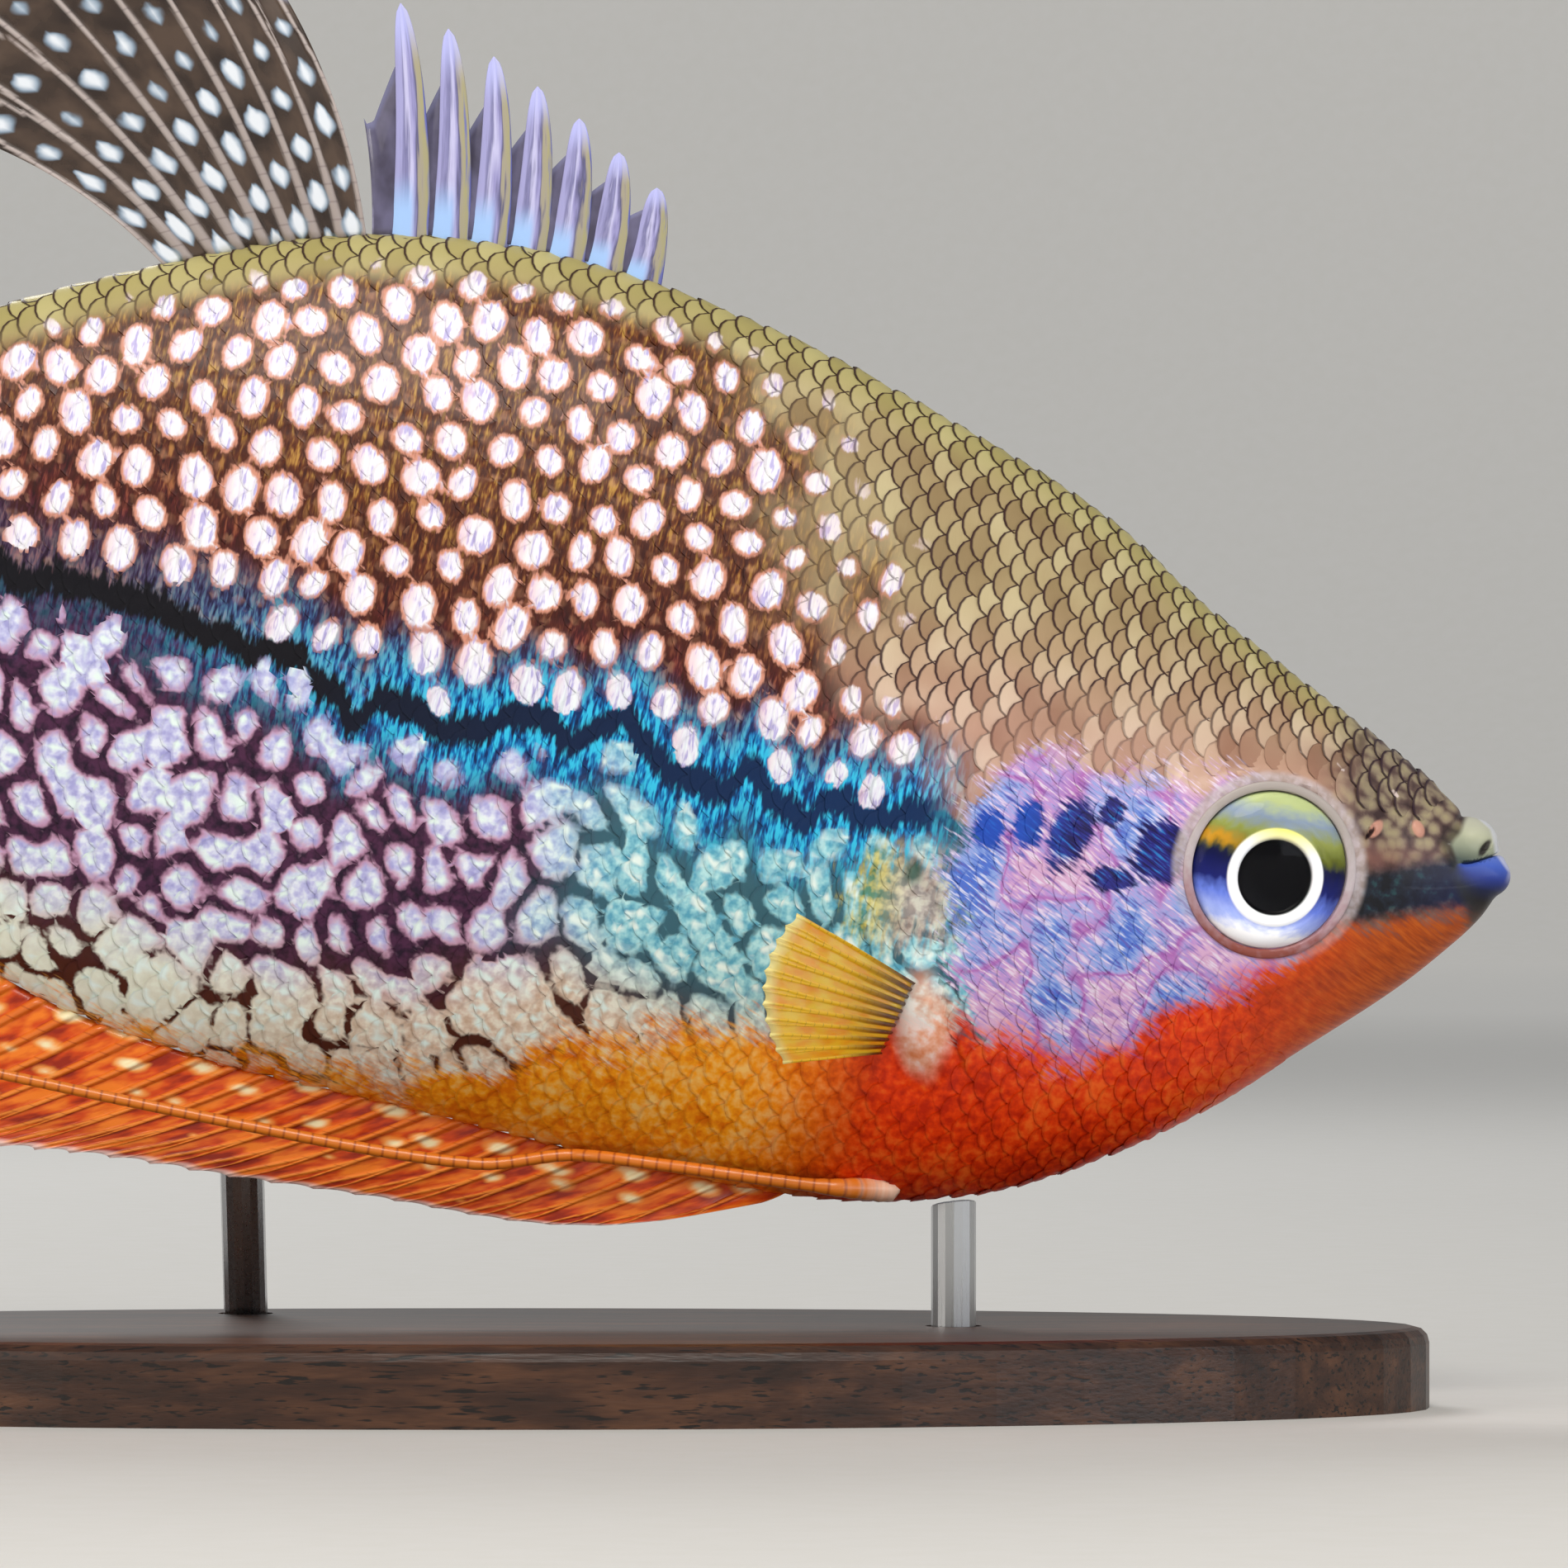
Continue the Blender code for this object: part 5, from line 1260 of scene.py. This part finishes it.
def fin_sheet(name, numbers, lines, place, wave, thickness, forks, material, replaced=()):
    """A closed thin sheet with a ridge over each ray. thickness holds halves for skin, root and tip."""
    columns, points = lines.shape[:2]
    share = np.linspace(0, 1, points)[None, :]
    skin_half, root_half, tip_half = thickness
    whole = np.floor(numbers + 0.5)
    spread = np.gradient(lines, numbers, axis=0)
    gap = np.linalg.norm(spread, axis=-1)
    off = np.abs(numbers - whole)[:, None] * gap
    fork = forks * gap * np.clip((share - 0.45) / 0.4, 0, 1) ** 1.5
    ray_half = root_half + (tip_half - root_half) * share
    wide = np.minimum(ray_half * np.where(fork > 0.02, 0.8, 1.0), 0.3 * gap)
    ridge = np.sqrt(np.clip(1 - ((off - fork) / wide) ** 2, 0, 1))
    half = skin_half + (ray_half - skin_half) * ridge
    half = half * np.where(share > 0.985, 0.5, 1.0)
    shift = wave(lines, share)
    faces_of = [place(lines, shift + sign * half).reshape(-1, 3) for sign in (1, -1)]
    size = columns * points
    sheet = grid_faces(columns, points)
    rim = grid_rim(columns, points)
    edge = np.stack([rim, np.roll(rim, -1), np.roll(rim, -1) + size, rim + size], -1)
    faces = [np.concatenate([sheet[:, ::-1], sheet + size, edge])]
    length = np.concatenate(
        [np.zeros((columns, 1)), np.cumsum(np.linalg.norm(np.diff(lines, axis=1), axis=-1), axis=1)], axis=1
    )
    flat = lines[..., :2] if lines.shape[-1] == 2 else lines[..., [0, 2]]
    on_fin = np.stack([share + 0 * half, length, numbers[:, None] + 0 * half], -1).reshape(-1, 3)
    on_fish = np.concatenate([flat, 0 * flat[..., :1]], -1).reshape(-1, 3)
    notes = {
        "fin_place": np.tile(on_fin, (2, 1)),
        "fish_place": np.tile(on_fish, (2, 1)),
        "on_ray": np.tile(np.clip(ridge * 1.6, 0, 1).ravel(), 2),
    }
    return make_piece(name, np.concatenate(faces_of), faces, material, replaced, notes)


def on_middle(lines, shift):
    """Places the points (s, h) of an upright fin, moved sideways."""
    return np.stack([lines[..., 0], shift, lines[..., 1]], -1)


def upward(angle):
    return np.stack([np.sin(angle), np.cos(angle)], -1)


def downward(angle):
    return np.stack([np.sin(angle), -np.cos(angle)], -1)


def backward(angle):
    return np.stack([np.cos(angle), np.sin(angle)], -1)


print("points beside each ray:", len(RAY_OFFSETS))

# %% [markdown]
# Dorsal fin
#
# The front of this fin is seven hard spines that grow longer towards the tail, each a flat blade with a sharp
# point. Dark skin joins them and hangs between their tips in scallops. Behind them nine soft rays rise like a
# feather, the longest in the middle, as in an adult male.

# %% Dorsal fin: skin between the spines
SPINE_COUNT, SPINE_START, SPINE_SPACING = 7, 47.3, 1.93
FIRST_SPINE, SPINE_GROWTH = 4.4, 1.16
SPINE_LEAN, SPINE_LEAN_GROWTH = np.radians((-4.0, 8.0)), math.radians(1.9)
SCALLOP = ((0, 0.2, 0.45, 0.75, 0.95, 1.0), (0.74, 0.72, 0.6, 0.46, 0.44, 0.5))


def dorsal_wave(lines, share):
    return 0.9 * share**2 * np.sin((lines[..., 0] - SPINE_START) / 9.0)


numbers = np.linspace(0.0, 6.97, 120)
s = SPINE_START + SPINE_SPACING * numbers
roots = np.stack([s, body(BACK, s) - 0.1], -1)
reach = np.interp(numbers % 1.0, *SCALLOP)
lengths = (FIRST_SPINE + SPINE_GROWTH * numbers) * reach
leans = SPINE_LEAN[:, None] + SPINE_LEAN_GROWTH * numbers
web = ray_lines(roots, lengths, leans[0], leans[1], 14, upward)
fin_sheet(
    "dorsal_web", numbers, web, on_middle, dorsal_wave, (0.07, 0.07, 0.07), 0.0, web_paint
)

# %% Dorsal fin: spines
spine_bone, shader, add = new_material("fin spine, lilac bone")
spine_place, front_to_back, spine_share, _ = noted(add, "spine_place")
grain = add("Mapping", {"Vector": spine_place, "Scale": (6.0, 2.4, 3.7)})
grain = add("TexNoise", {"Vector": grain, "Scale": 1.0, "Detail": 3.0})
across_spine = add("Math", [grain, 0.62, front_to_back], operation="MULTIPLY_ADD")
across_spine = add("Math", [across_spine, 0.16], operation="SUBTRACT")
bone = add(
    "ValToRGB", [across_spine],
    stops=(
        (0.14, "#6a70b8"), (0.24, "#aca67c"), (0.4, "#a8a090"), (0.47, "#5c5a80"), (0.58, "#9c98cc"),
        (0.72, "#cccaf0"), (0.84, "#7c7aa8"), (1.0, "#a8a6d8"),
    ),
)
bone = tinted(bone, "#c2c6ff", spine_share, 0.72, 0.95, 0.8)
at_root = add("MapRange", [spine_share, 0.3, 0.1], **SMOOTH)
at_back = add("MapRange", [front_to_back, 0.35, 0.55], **SMOOTH)
bone = laid(bone, "#a8ccff", at_root, at_back)
fill(shader, {"Base Color": bone, "Roughness": 0.5, "Specular IOR Level": 0.3})
SPINE_HALF, SPINE_THICK, SPINE_SIDES, SPINE_ROWS = 0.95, 0.18, 20, 28
turn = circle(SPINE_SIDES)
share = np.linspace(0, 1, SPINE_ROWS + 1)
narrow = np.sqrt(np.clip(1 - share**6, 0, 1)) * (1 - 0.42 * share) + 0.02
spine_places, spine_faces, spine_notes = [], [], []
for number in range(SPINE_COUNT):
    s = SPINE_START + SPINE_SPACING * number
    root = np.array([[s, float(body(BACK, s)) - 0.3]])
    lean = SPINE_LEAN + SPINE_LEAN_GROWTH * number
    length = np.array([FIRST_SPINE + SPINE_GROWTH * number + 0.3])
    line = ray_lines(root, length, lean[:1], lean[1:], SPINE_ROWS, upward)[0]
    along = unit(np.gradient(line, axis=0))
    across = np.stack([along[:, 1], -along[:, 0]], -1)
    half = (SPINE_HALF * narrow)[:, None, None]
    flat = line[:, None] + across[:, None] * half * np.cos(turn)[None, :, None]
    thick = SPINE_THICK * narrow[:, None] * (1 - 0.6 * share[:, None]) * np.sin(turn)
    shift = dorsal_wave(line[:, None], share[:, None])
    places = np.stack([flat[..., 0], thick + shift, flat[..., 1]], -1).reshape(-1, 3)
    base = number * (SPINE_ROWS + 1) * SPINE_SIDES
    spine_places.append(places)
    spine_faces.append(grid_faces(SPINE_ROWS + 1, SPINE_SIDES, closed=True) + base)
    note = np.stack(
        [0.5 + 0.5 * np.cos(turn) + 0 * thick, share[:, None] + 0 * thick, number + 0 * thick], -1
    )
    spine_notes.append(note.reshape(-1, 3))
make_piece(
    "dorsal_spines", np.concatenate(spine_places), [np.concatenate(spine_faces)], spine_bone,
    (), {"spine_place": np.concatenate(spine_notes)},
)

# %% Dorsal fin: soft rays
SOFT_START, SOFT_END, SOFT_RAYS = 61.0, 70.5, 9
SOFT_LENGTH = (
    (0.0, 13.0), (0.12, 17.0), (0.25, 23.0), (0.38, 29.0), (0.5, 32.0), (0.62, 29.5), (0.8, 20.0), (1.0, 12.0)
)
SOFT_ROOT_LEAN, SOFT_TIP_LEAN = np.radians((18.0, 54.0)), np.radians((42.0, 82.0))


def between(pair, share):
    return pair[0] + (pair[1] - pair[0]) * share


def hang_in(numbers, depth):
    """How far the skin between two rays falls short of their tips: 1 on a ray, less between."""
    return 1 - depth * (1 - np.abs(2 * (numbers % 1.0) - 1) ** 2)


numbers = fin_steps(SOFT_RAYS)
share = numbers / (SOFT_RAYS - 1)
s = between((SOFT_START, SOFT_END), share)
roots = np.stack([s, body(BACK, s) - 0.2], -1)
lengths = smooth_table(SOFT_LENGTH, share) * hang_in(numbers, 0.06)
soft = ray_lines(roots, lengths, between(SOFT_ROOT_LEAN, share), between(SOFT_TIP_LEAN, share), 44, upward)
fin_sheet(
    "dorsal_soft", numbers, soft, on_middle, dorsal_wave, (0.06, 0.3, 0.12), 0.18, dorsal_paint,
    ("dorsal_fin",),
)

# %% [markdown]
# Anal fin
#
# It runs along most of the belly, low in front and deep at the back, with thirty-eight soft rays that lean
# back. Its edge is a thin pale margin, scalloped between the rays.

# %% Anal fin
ANAL_START, ANAL_END, ANAL_RAYS = 31.9, 92.3, 38
ANAL_DEPTH = (
    (0.0, 0.7), (0.027, 2.3), (0.053, 3.2), (0.1, 3.9), (0.2, 4.3), (0.3, 5.0), (0.4, 5.5), (0.5, 6.5),
    (0.63, 8.6), (0.75, 11.2), (0.86, 13.4), (0.94, 13.8), (1.0, 11.0),
)
ANAL_LEAN = ((0.0, 0.4, 0.8, 1.0), (58.0, 62.0, 50.0, 42.0))


def anal_wave(lines, share):
    return 0.8 * share * np.sin(lines[..., 0] / 6.5)


numbers = fin_steps(ANAL_RAYS)
share = numbers / (ANAL_RAYS - 1)
s = between((ANAL_START, ANAL_END), share)
lean = np.radians(np.interp(share, *ANAL_LEAN))
lengths = smooth_table(ANAL_DEPTH, share) / np.cos(lean) * hang_in(numbers, 0.015 + 0.05 * share)
roots = np.stack([s, body(BELLY, s) + 0.15], -1)
anal = ray_lines(roots, lengths, lean - 0.12, lean + 0.12, 26, downward)
fin_sheet(
    "anal_sheet", numbers, anal, on_middle, anal_wave, (0.06, 0.3, 0.12), 0.2, anal_paint,
    ("anal_fin",),
)

# %% [markdown]
# Tail fin
#
# Sixteen rays fan out from the end of the body. The outer ones are longer than the middle ones, so the edge
# is slightly forked.

# %% Tail fin
BODY_LENGTH, TAIL_SPREAD = 95.0, math.radians(27.0)
TAIL_RAYS = (15.0, 21.5, 24.0, 23.6, 22.3, 20.8, 19.9, 19.5)


def tail_wave(lines, share):
    return 1.0 * share**2 * np.sin(lines[..., 1] / 7.0 + 0.6)


lengths = np.array([*TAIL_RAYS, *reversed(TAIL_RAYS)])
numbers = fin_steps(len(lengths))
share = numbers / (len(lengths) - 1)
root_h = between((float(body(BACK, BODY_LENGTH)) - 0.3, float(body(BELLY, BODY_LENGTH)) + 0.3), share)
spread = TAIL_SPREAD * (1 - 2 * share)
roots = np.stack([0 * share + BODY_LENGTH - 0.4, root_h], -1)
reach = np.interp(numbers, np.arange(len(lengths)), lengths) * hang_in(numbers, 0.04)
tail_lines = ray_lines(roots, reach, spread, 0.8 * spread, 36, backward)
fin_sheet(
    "tail_sheet", numbers, tail_lines, on_middle, tail_wave, (0.07, 0.45, 0.12), 0.2, tail_paint,
    ("tail_fin",),
)

# %% [markdown]
# Pectoral fins
#
# The pair behind the gills is the fish's paddle: eleven fine rays in nearly clear yellow skin, spread
# outwards. Each fin is a fan in its own plane, bent back a little.

# %% Pectoral fins
PECTORAL_ROOT, PECTORAL_SLANT, PECTORAL_LENGTH, PECTORAL_RAYS = 3.7, 0.25, 15.2, 11
PECTORAL_OUT, PECTORAL_UP, PECTORAL_FAN = math.radians(68.0), math.radians(4.0), np.radians((-9.0, 5.0))
level_share = math.cos(PECTORAL_UP)
back_share, out_share = math.cos(PECTORAL_OUT) * level_share, math.sin(PECTORAL_OUT) * level_share
for side, word in SIDES:
    out_way = np.array((back_share, side * out_share, math.sin(PECTORAL_UP)))
    across_way = unit(np.array((0, 0, 1)) - out_way * out_way[2])
    flat_way = -side * np.cross(out_way, across_way)
    numbers = fin_steps(PECTORAL_RAYS)
    share = numbers / (PECTORAL_RAYS - 1)
    h = PECTORAL_PLACE[1] + (share - 0.5) * PECTORAL_ROOT
    s = PECTORAL_PLACE[0] - (share - 0.5) * PECTORAL_ROOT * PECTORAL_SLANT
    surface, normal = skin_normal(s, h, side)
    lean = between(PECTORAL_FAN, share)
    lengths = PECTORAL_LENGTH * (0.56 + 0.44 * np.sin(math.pi * (0.1 + 0.6 * share)))
    lengths = lengths * hang_in(numbers, 0.025)
    fan = ray_lines(
        surface + normal * 0.1, lengths, lean, 1.3 * lean, 22,
        lambda a: np.cos(a)[..., None] * out_way + np.sin(a)[..., None] * across_way,
    )
    middle = surface.mean(0)

    def bend(lines, share):
        return -1.2 * (np.linalg.norm(lines - middle, axis=-1) / PECTORAL_LENGTH) ** 2

    def in_plane(lines, shift):
        return lines + flat_way * shift[..., None]

    fin_sheet(
        f"pectoral_{word}", numbers, fan, in_plane, bend, (0.05, 0.2, 0.09), 0.15, pectoral_paint,
        ("pectoral_fin_" + word,),
    )

# %% [markdown]
# Feelers
#
# A gourami's pelvic fins are single long rays, thin as thread, with which it touches what is in front of it.
# Each is a tube that tapers along its course under the belly.

# %% Feelers
PELVIC_START, PELVIC_LENGTH, PELVIC_RADIUS, FEELER_JOINT = 26.4, 62.0, (0.75, 0.34, 0.25), 0.35
FEELER_SIDES, FEELER_RINGS = 12, 181
PELVIC_COURSE = (
    (26.4, -21.2), (30.0, -21.7), (38.0, -22.2), (42.5, -22.6), (47.0, -23.9), (58.0, -24.2), (88.0, -23.6)
)
thread, shader, add = new_material("orange feeler skin")
thread_place, thread_share, thread_length, _ = noted(add, "fin_place")
rings_of = add("Math", [thread_length, FEELER_JOINT], operation="PINGPONG")
orange = tinted("#a84a0c", "#e07a1c", rings_of, 0.0, 0.1, how=STRAIGHT)
worn = add("TexNoise", {"Vector": thread_place, "Scale": 2.0, "Detail": 2.0})
# A pale painted highlight at the feeler's root.
root_highlight = add("Math", [worn, 0.05, thread_share], operation="MULTIPLY_ADD")
orange = tinted(orange, "#f4c8ae", root_highlight, 0.07, 0.03)
fill(shader, {"Base Color": orange, "Roughness": 0.4, "Coat Weight": 0.2})
for side, word in SIDES:
    share = np.linspace(0, 1, FEELER_RINGS)
    s = PELVIC_START + PELVIC_LENGTH * share
    h = smooth_table(PELVIC_COURSE, s)
    root, middle, tip_radius = PELVIC_RADIUS
    clear_of_skin = between((-0.3, root + GAP), rise_over(s - PELVIC_START, 0.3, 3.5))
    aside = side * (side_at(s, h) + clear_of_skin + 2.6 * share)
    centre = np.stack([s, aside, h], -1)
    along = unit(np.gradient(centre, axis=0))
    first = unit(np.cross(along, (0.0, 0.0, 1.0)))
    second = np.cross(first, along)
    radius = middle + (tip_radius - middle) * share + (root - middle) * np.clip(1 - 14 * share, 0, 1)
    radius = radius * (0.92 + 0.08 * np.abs(np.sin(share * PELVIC_LENGTH / FEELER_JOINT * math.pi / 2)))
    radius = radius * np.sqrt(np.clip(1 - np.clip(1 - share / 0.014, 0, 1) ** 2, 0.02, 1))
    turn = circle(FEELER_SIDES)
    ring = first[:, None] * np.cos(turn)[None, :, None] + second[:, None] * np.sin(turn)[None, :, None]
    tube = centre[:, None] + ring * radius[:, None, None]
    share_note = share[:, None] + 0 * turn
    note = np.stack([share_note, share_note * PELVIC_LENGTH, 0 * share_note], -1)
    last_ring = (len(share) - 1) * FEELER_SIDES
    ends = [np.arange(FEELER_SIDES)[None], last_ring + np.arange(FEELER_SIDES)[::-1][None]]
    faces = [grid_faces(len(share), FEELER_SIDES, closed=True), *ends]
    make_piece(
        f"feeler_{word}", tube.reshape(-1, 3), faces, thread, ("pelvic_fin_" + word,),
        {"fin_place": note.reshape(-1, 3)},
    )

# %% [markdown]
# Stand
#
# The stand is plain: an oval of dark oiled hardwood and two satin steel rods. Its solids have the right
# shape, so they stay and only get their materials. Wood has rings that show as long stripes with pores along
# them, and rods drawn through a die keep fine lines along their length.

# %% Stand
wood, shader, add = new_material("dark hardwood, oiled")
where = add("TexCoord", out="Object")
plank = add("Mapping", {"Vector": where, "Scale": (60.0, 420.0, 420.0)})
bent = add("TexNoise", {"Vector": plank, "Scale": 0.5, "Detail": 2.0}, out="Color")
bent = add("VectorMath", {0: bent, 1: (1.2, 1.2, 1.2), 2: plank}, operation="MULTIPLY_ADD")
growth = add("TexNoise", {"Vector": bent, "Scale": 1.4, "Detail": 4.0, "Roughness": 0.65})
grain_paint = add("ValToRGB", [growth], stops=((0.3, "#1d0f08"), (0.5, "#3a2114"), (0.7, "#5c3a24")))
pores = add("Mapping", {"Vector": where, "Scale": (500.0, 5200.0, 5200.0)})
pores = add("TexNoise", {"Vector": pores, "Scale": 1.0, "Detail": 2.0})
grain_paint = tinted("#140a05", grain_paint, pores, 0.36, 0.42, how=STRAIGHT)
relief = add("Bump", {"Strength": 0.4, "Distance": 0.06 * MM, "Height": pores})
fill(shader, {"Base Color": grain_paint, "Normal": relief, "Roughness": 0.42})
steel, shader, add = new_material("stainless steel, satin drawn")
where = add("TexCoord", out="Object")
drawn = add("Mapping", {"Vector": where, "Scale": (9000.0, 9000.0, 260.0)})
lines = add("TexNoise", {"Vector": drawn, "Scale": 1.0, "Detail": 2.0})
shine = add("MapRange", [lines, 0.0, 1.0, 0.2, 0.38])
fill(shader, {"Roughness": shine, "Base Color": "#c6c8ca", "Metallic": 1.0})
for name, material in (("stand_base", wood), ("stand_rod_front", steel), ("stand_rod_rear", steel)):
    node = frame["nodes"][name]
    node.data.materials.clear()
    node.data.materials.append(material)
print("the stand keeps its solids")

# %% [markdown]
# Floor and light
#
# A museum piece is photographed on a pale sweep of paper. The sweep here is a wide shallow bowl that rises
# beyond every camera, so the object can be looked at from all sides. Its far parts carry a painted glow that
# brightens them, growing outwards and weakest on the side of the lamps. Large soft lights, one of them high
# in front, give the scales small steps of light.

# %% Floor
FLOOR_FLAT, FLOOR_RISE, FLOOR_TOP, FLOOR_SIDES = 1500.0, 250.0, 500.0, 96
bend = np.linspace(0, math.pi / 2, 17)
sweep = [(0.5, 0.0), (FLOOR_FLAT - 5.0, 0.0)]
sweep += [(FLOOR_FLAT + FLOOR_RISE * math.sin(a), FLOOR_RISE * (1 - math.cos(a))) for a in bend]
sweep.append((FLOOR_FLAT + FLOOR_RISE, FLOOR_TOP))
paper, shader, add = new_material("pale matt background paper")
where = add("TexCoord", out="Object")
fibre = add("TexNoise", {"Vector": where, "Scale": 400.0, "Detail": 2.0})
tint = add("ValToRGB", [fibre], stops=((0.3, "#dddbd6"), (0.7, "#dfddd9")))
# The paper's painted glow grows with distance from the middle and is weaker on the side of the lamps.
outward = add("VectorMath", [where], out="Value", operation="LENGTH")
lamp_side = add("SeparateXYZ", [where]).node.outputs[1]
lamp_side = add("Math", [lamp_side, 0.0], operation="MINIMUM")
outward = add("Math", [lamp_side, 0.6, outward], operation="MULTIPLY_ADD")
painted_glow = add("MapRange", [outward, 0.3, 1.05, 0.0, 0.27])
fill(
    shader,
    {"Base Color": tint, "Roughness": 0.9, "Emission Color": "#e4e2de", "Emission Strength": painted_glow},
)
paper.cycles.emission_sampling = "NONE"
turn = circle(FLOOR_SIDES)
floor_mesh = bpy.data.meshes.new("floor")
floor_points = [(out * MM * math.cos(a), out * MM * math.sin(a), z * MM) for out, z in sweep for a in turn]
floor_mesh.from_pydata(floor_points, [], grid_faces(len(sweep), FLOOR_SIDES, closed=True).tolist())
floor_mesh.shade_smooth()
floor_mesh.materials.append(paper)
floor = bpy.data.objects.new("floor", floor_mesh)
bpy.context.scene.collection.objects.link(floor)
print("floor of", len(sweep), "strips")

# %% Lights


def soft_light(name, place, aim, size, power, colour):
    """An area light at a place, turned to its aim, both in millimetres of the frame."""
    lamp = bpy.data.lights.new(name, "AREA")
    lamp.shape, lamp.size, lamp.energy = "DISK", size * MM, power
    lamp.color = linear(colour)[:3]
    made = bpy.data.objects.new(name, lamp)
    made.location = [v * MM for v in place]
    way = [(a - p) * MM for a, p in zip(aim, place)]
    made.rotation_euler = mathutils.Vector(way).to_track_quat("-Z", "Y").to_euler()
    bpy.context.scene.collection.objects.link(made)


soft_light("key", (60, -420, 420), (10, 0, 30), 260, 1.9, "#fffaf2")
soft_light("fill", (420, -380, 60), (10, 0, 30), 320, 0.7, "#f2f6ff")
soft_light("rim", (-160, 420, 380), (10, 0, 30), 260, 1.1, "#ffffff")
soft_light("left", (-380, -300, 160), (10, 0, 30), 300, 0.6, "#fff8f0")
world = bpy.data.worlds.new("studio air")
world.use_nodes = True
world.node_tree.nodes["Background"].inputs["Color"].default_value = linear("#dfe3e8")
world.node_tree.nodes["Background"].inputs["Strength"].default_value = 0.28
bpy.context.scene.world = world
bpy.context.scene.view_settings.view_transform = "Standard"
print("four soft lights and a pale world")
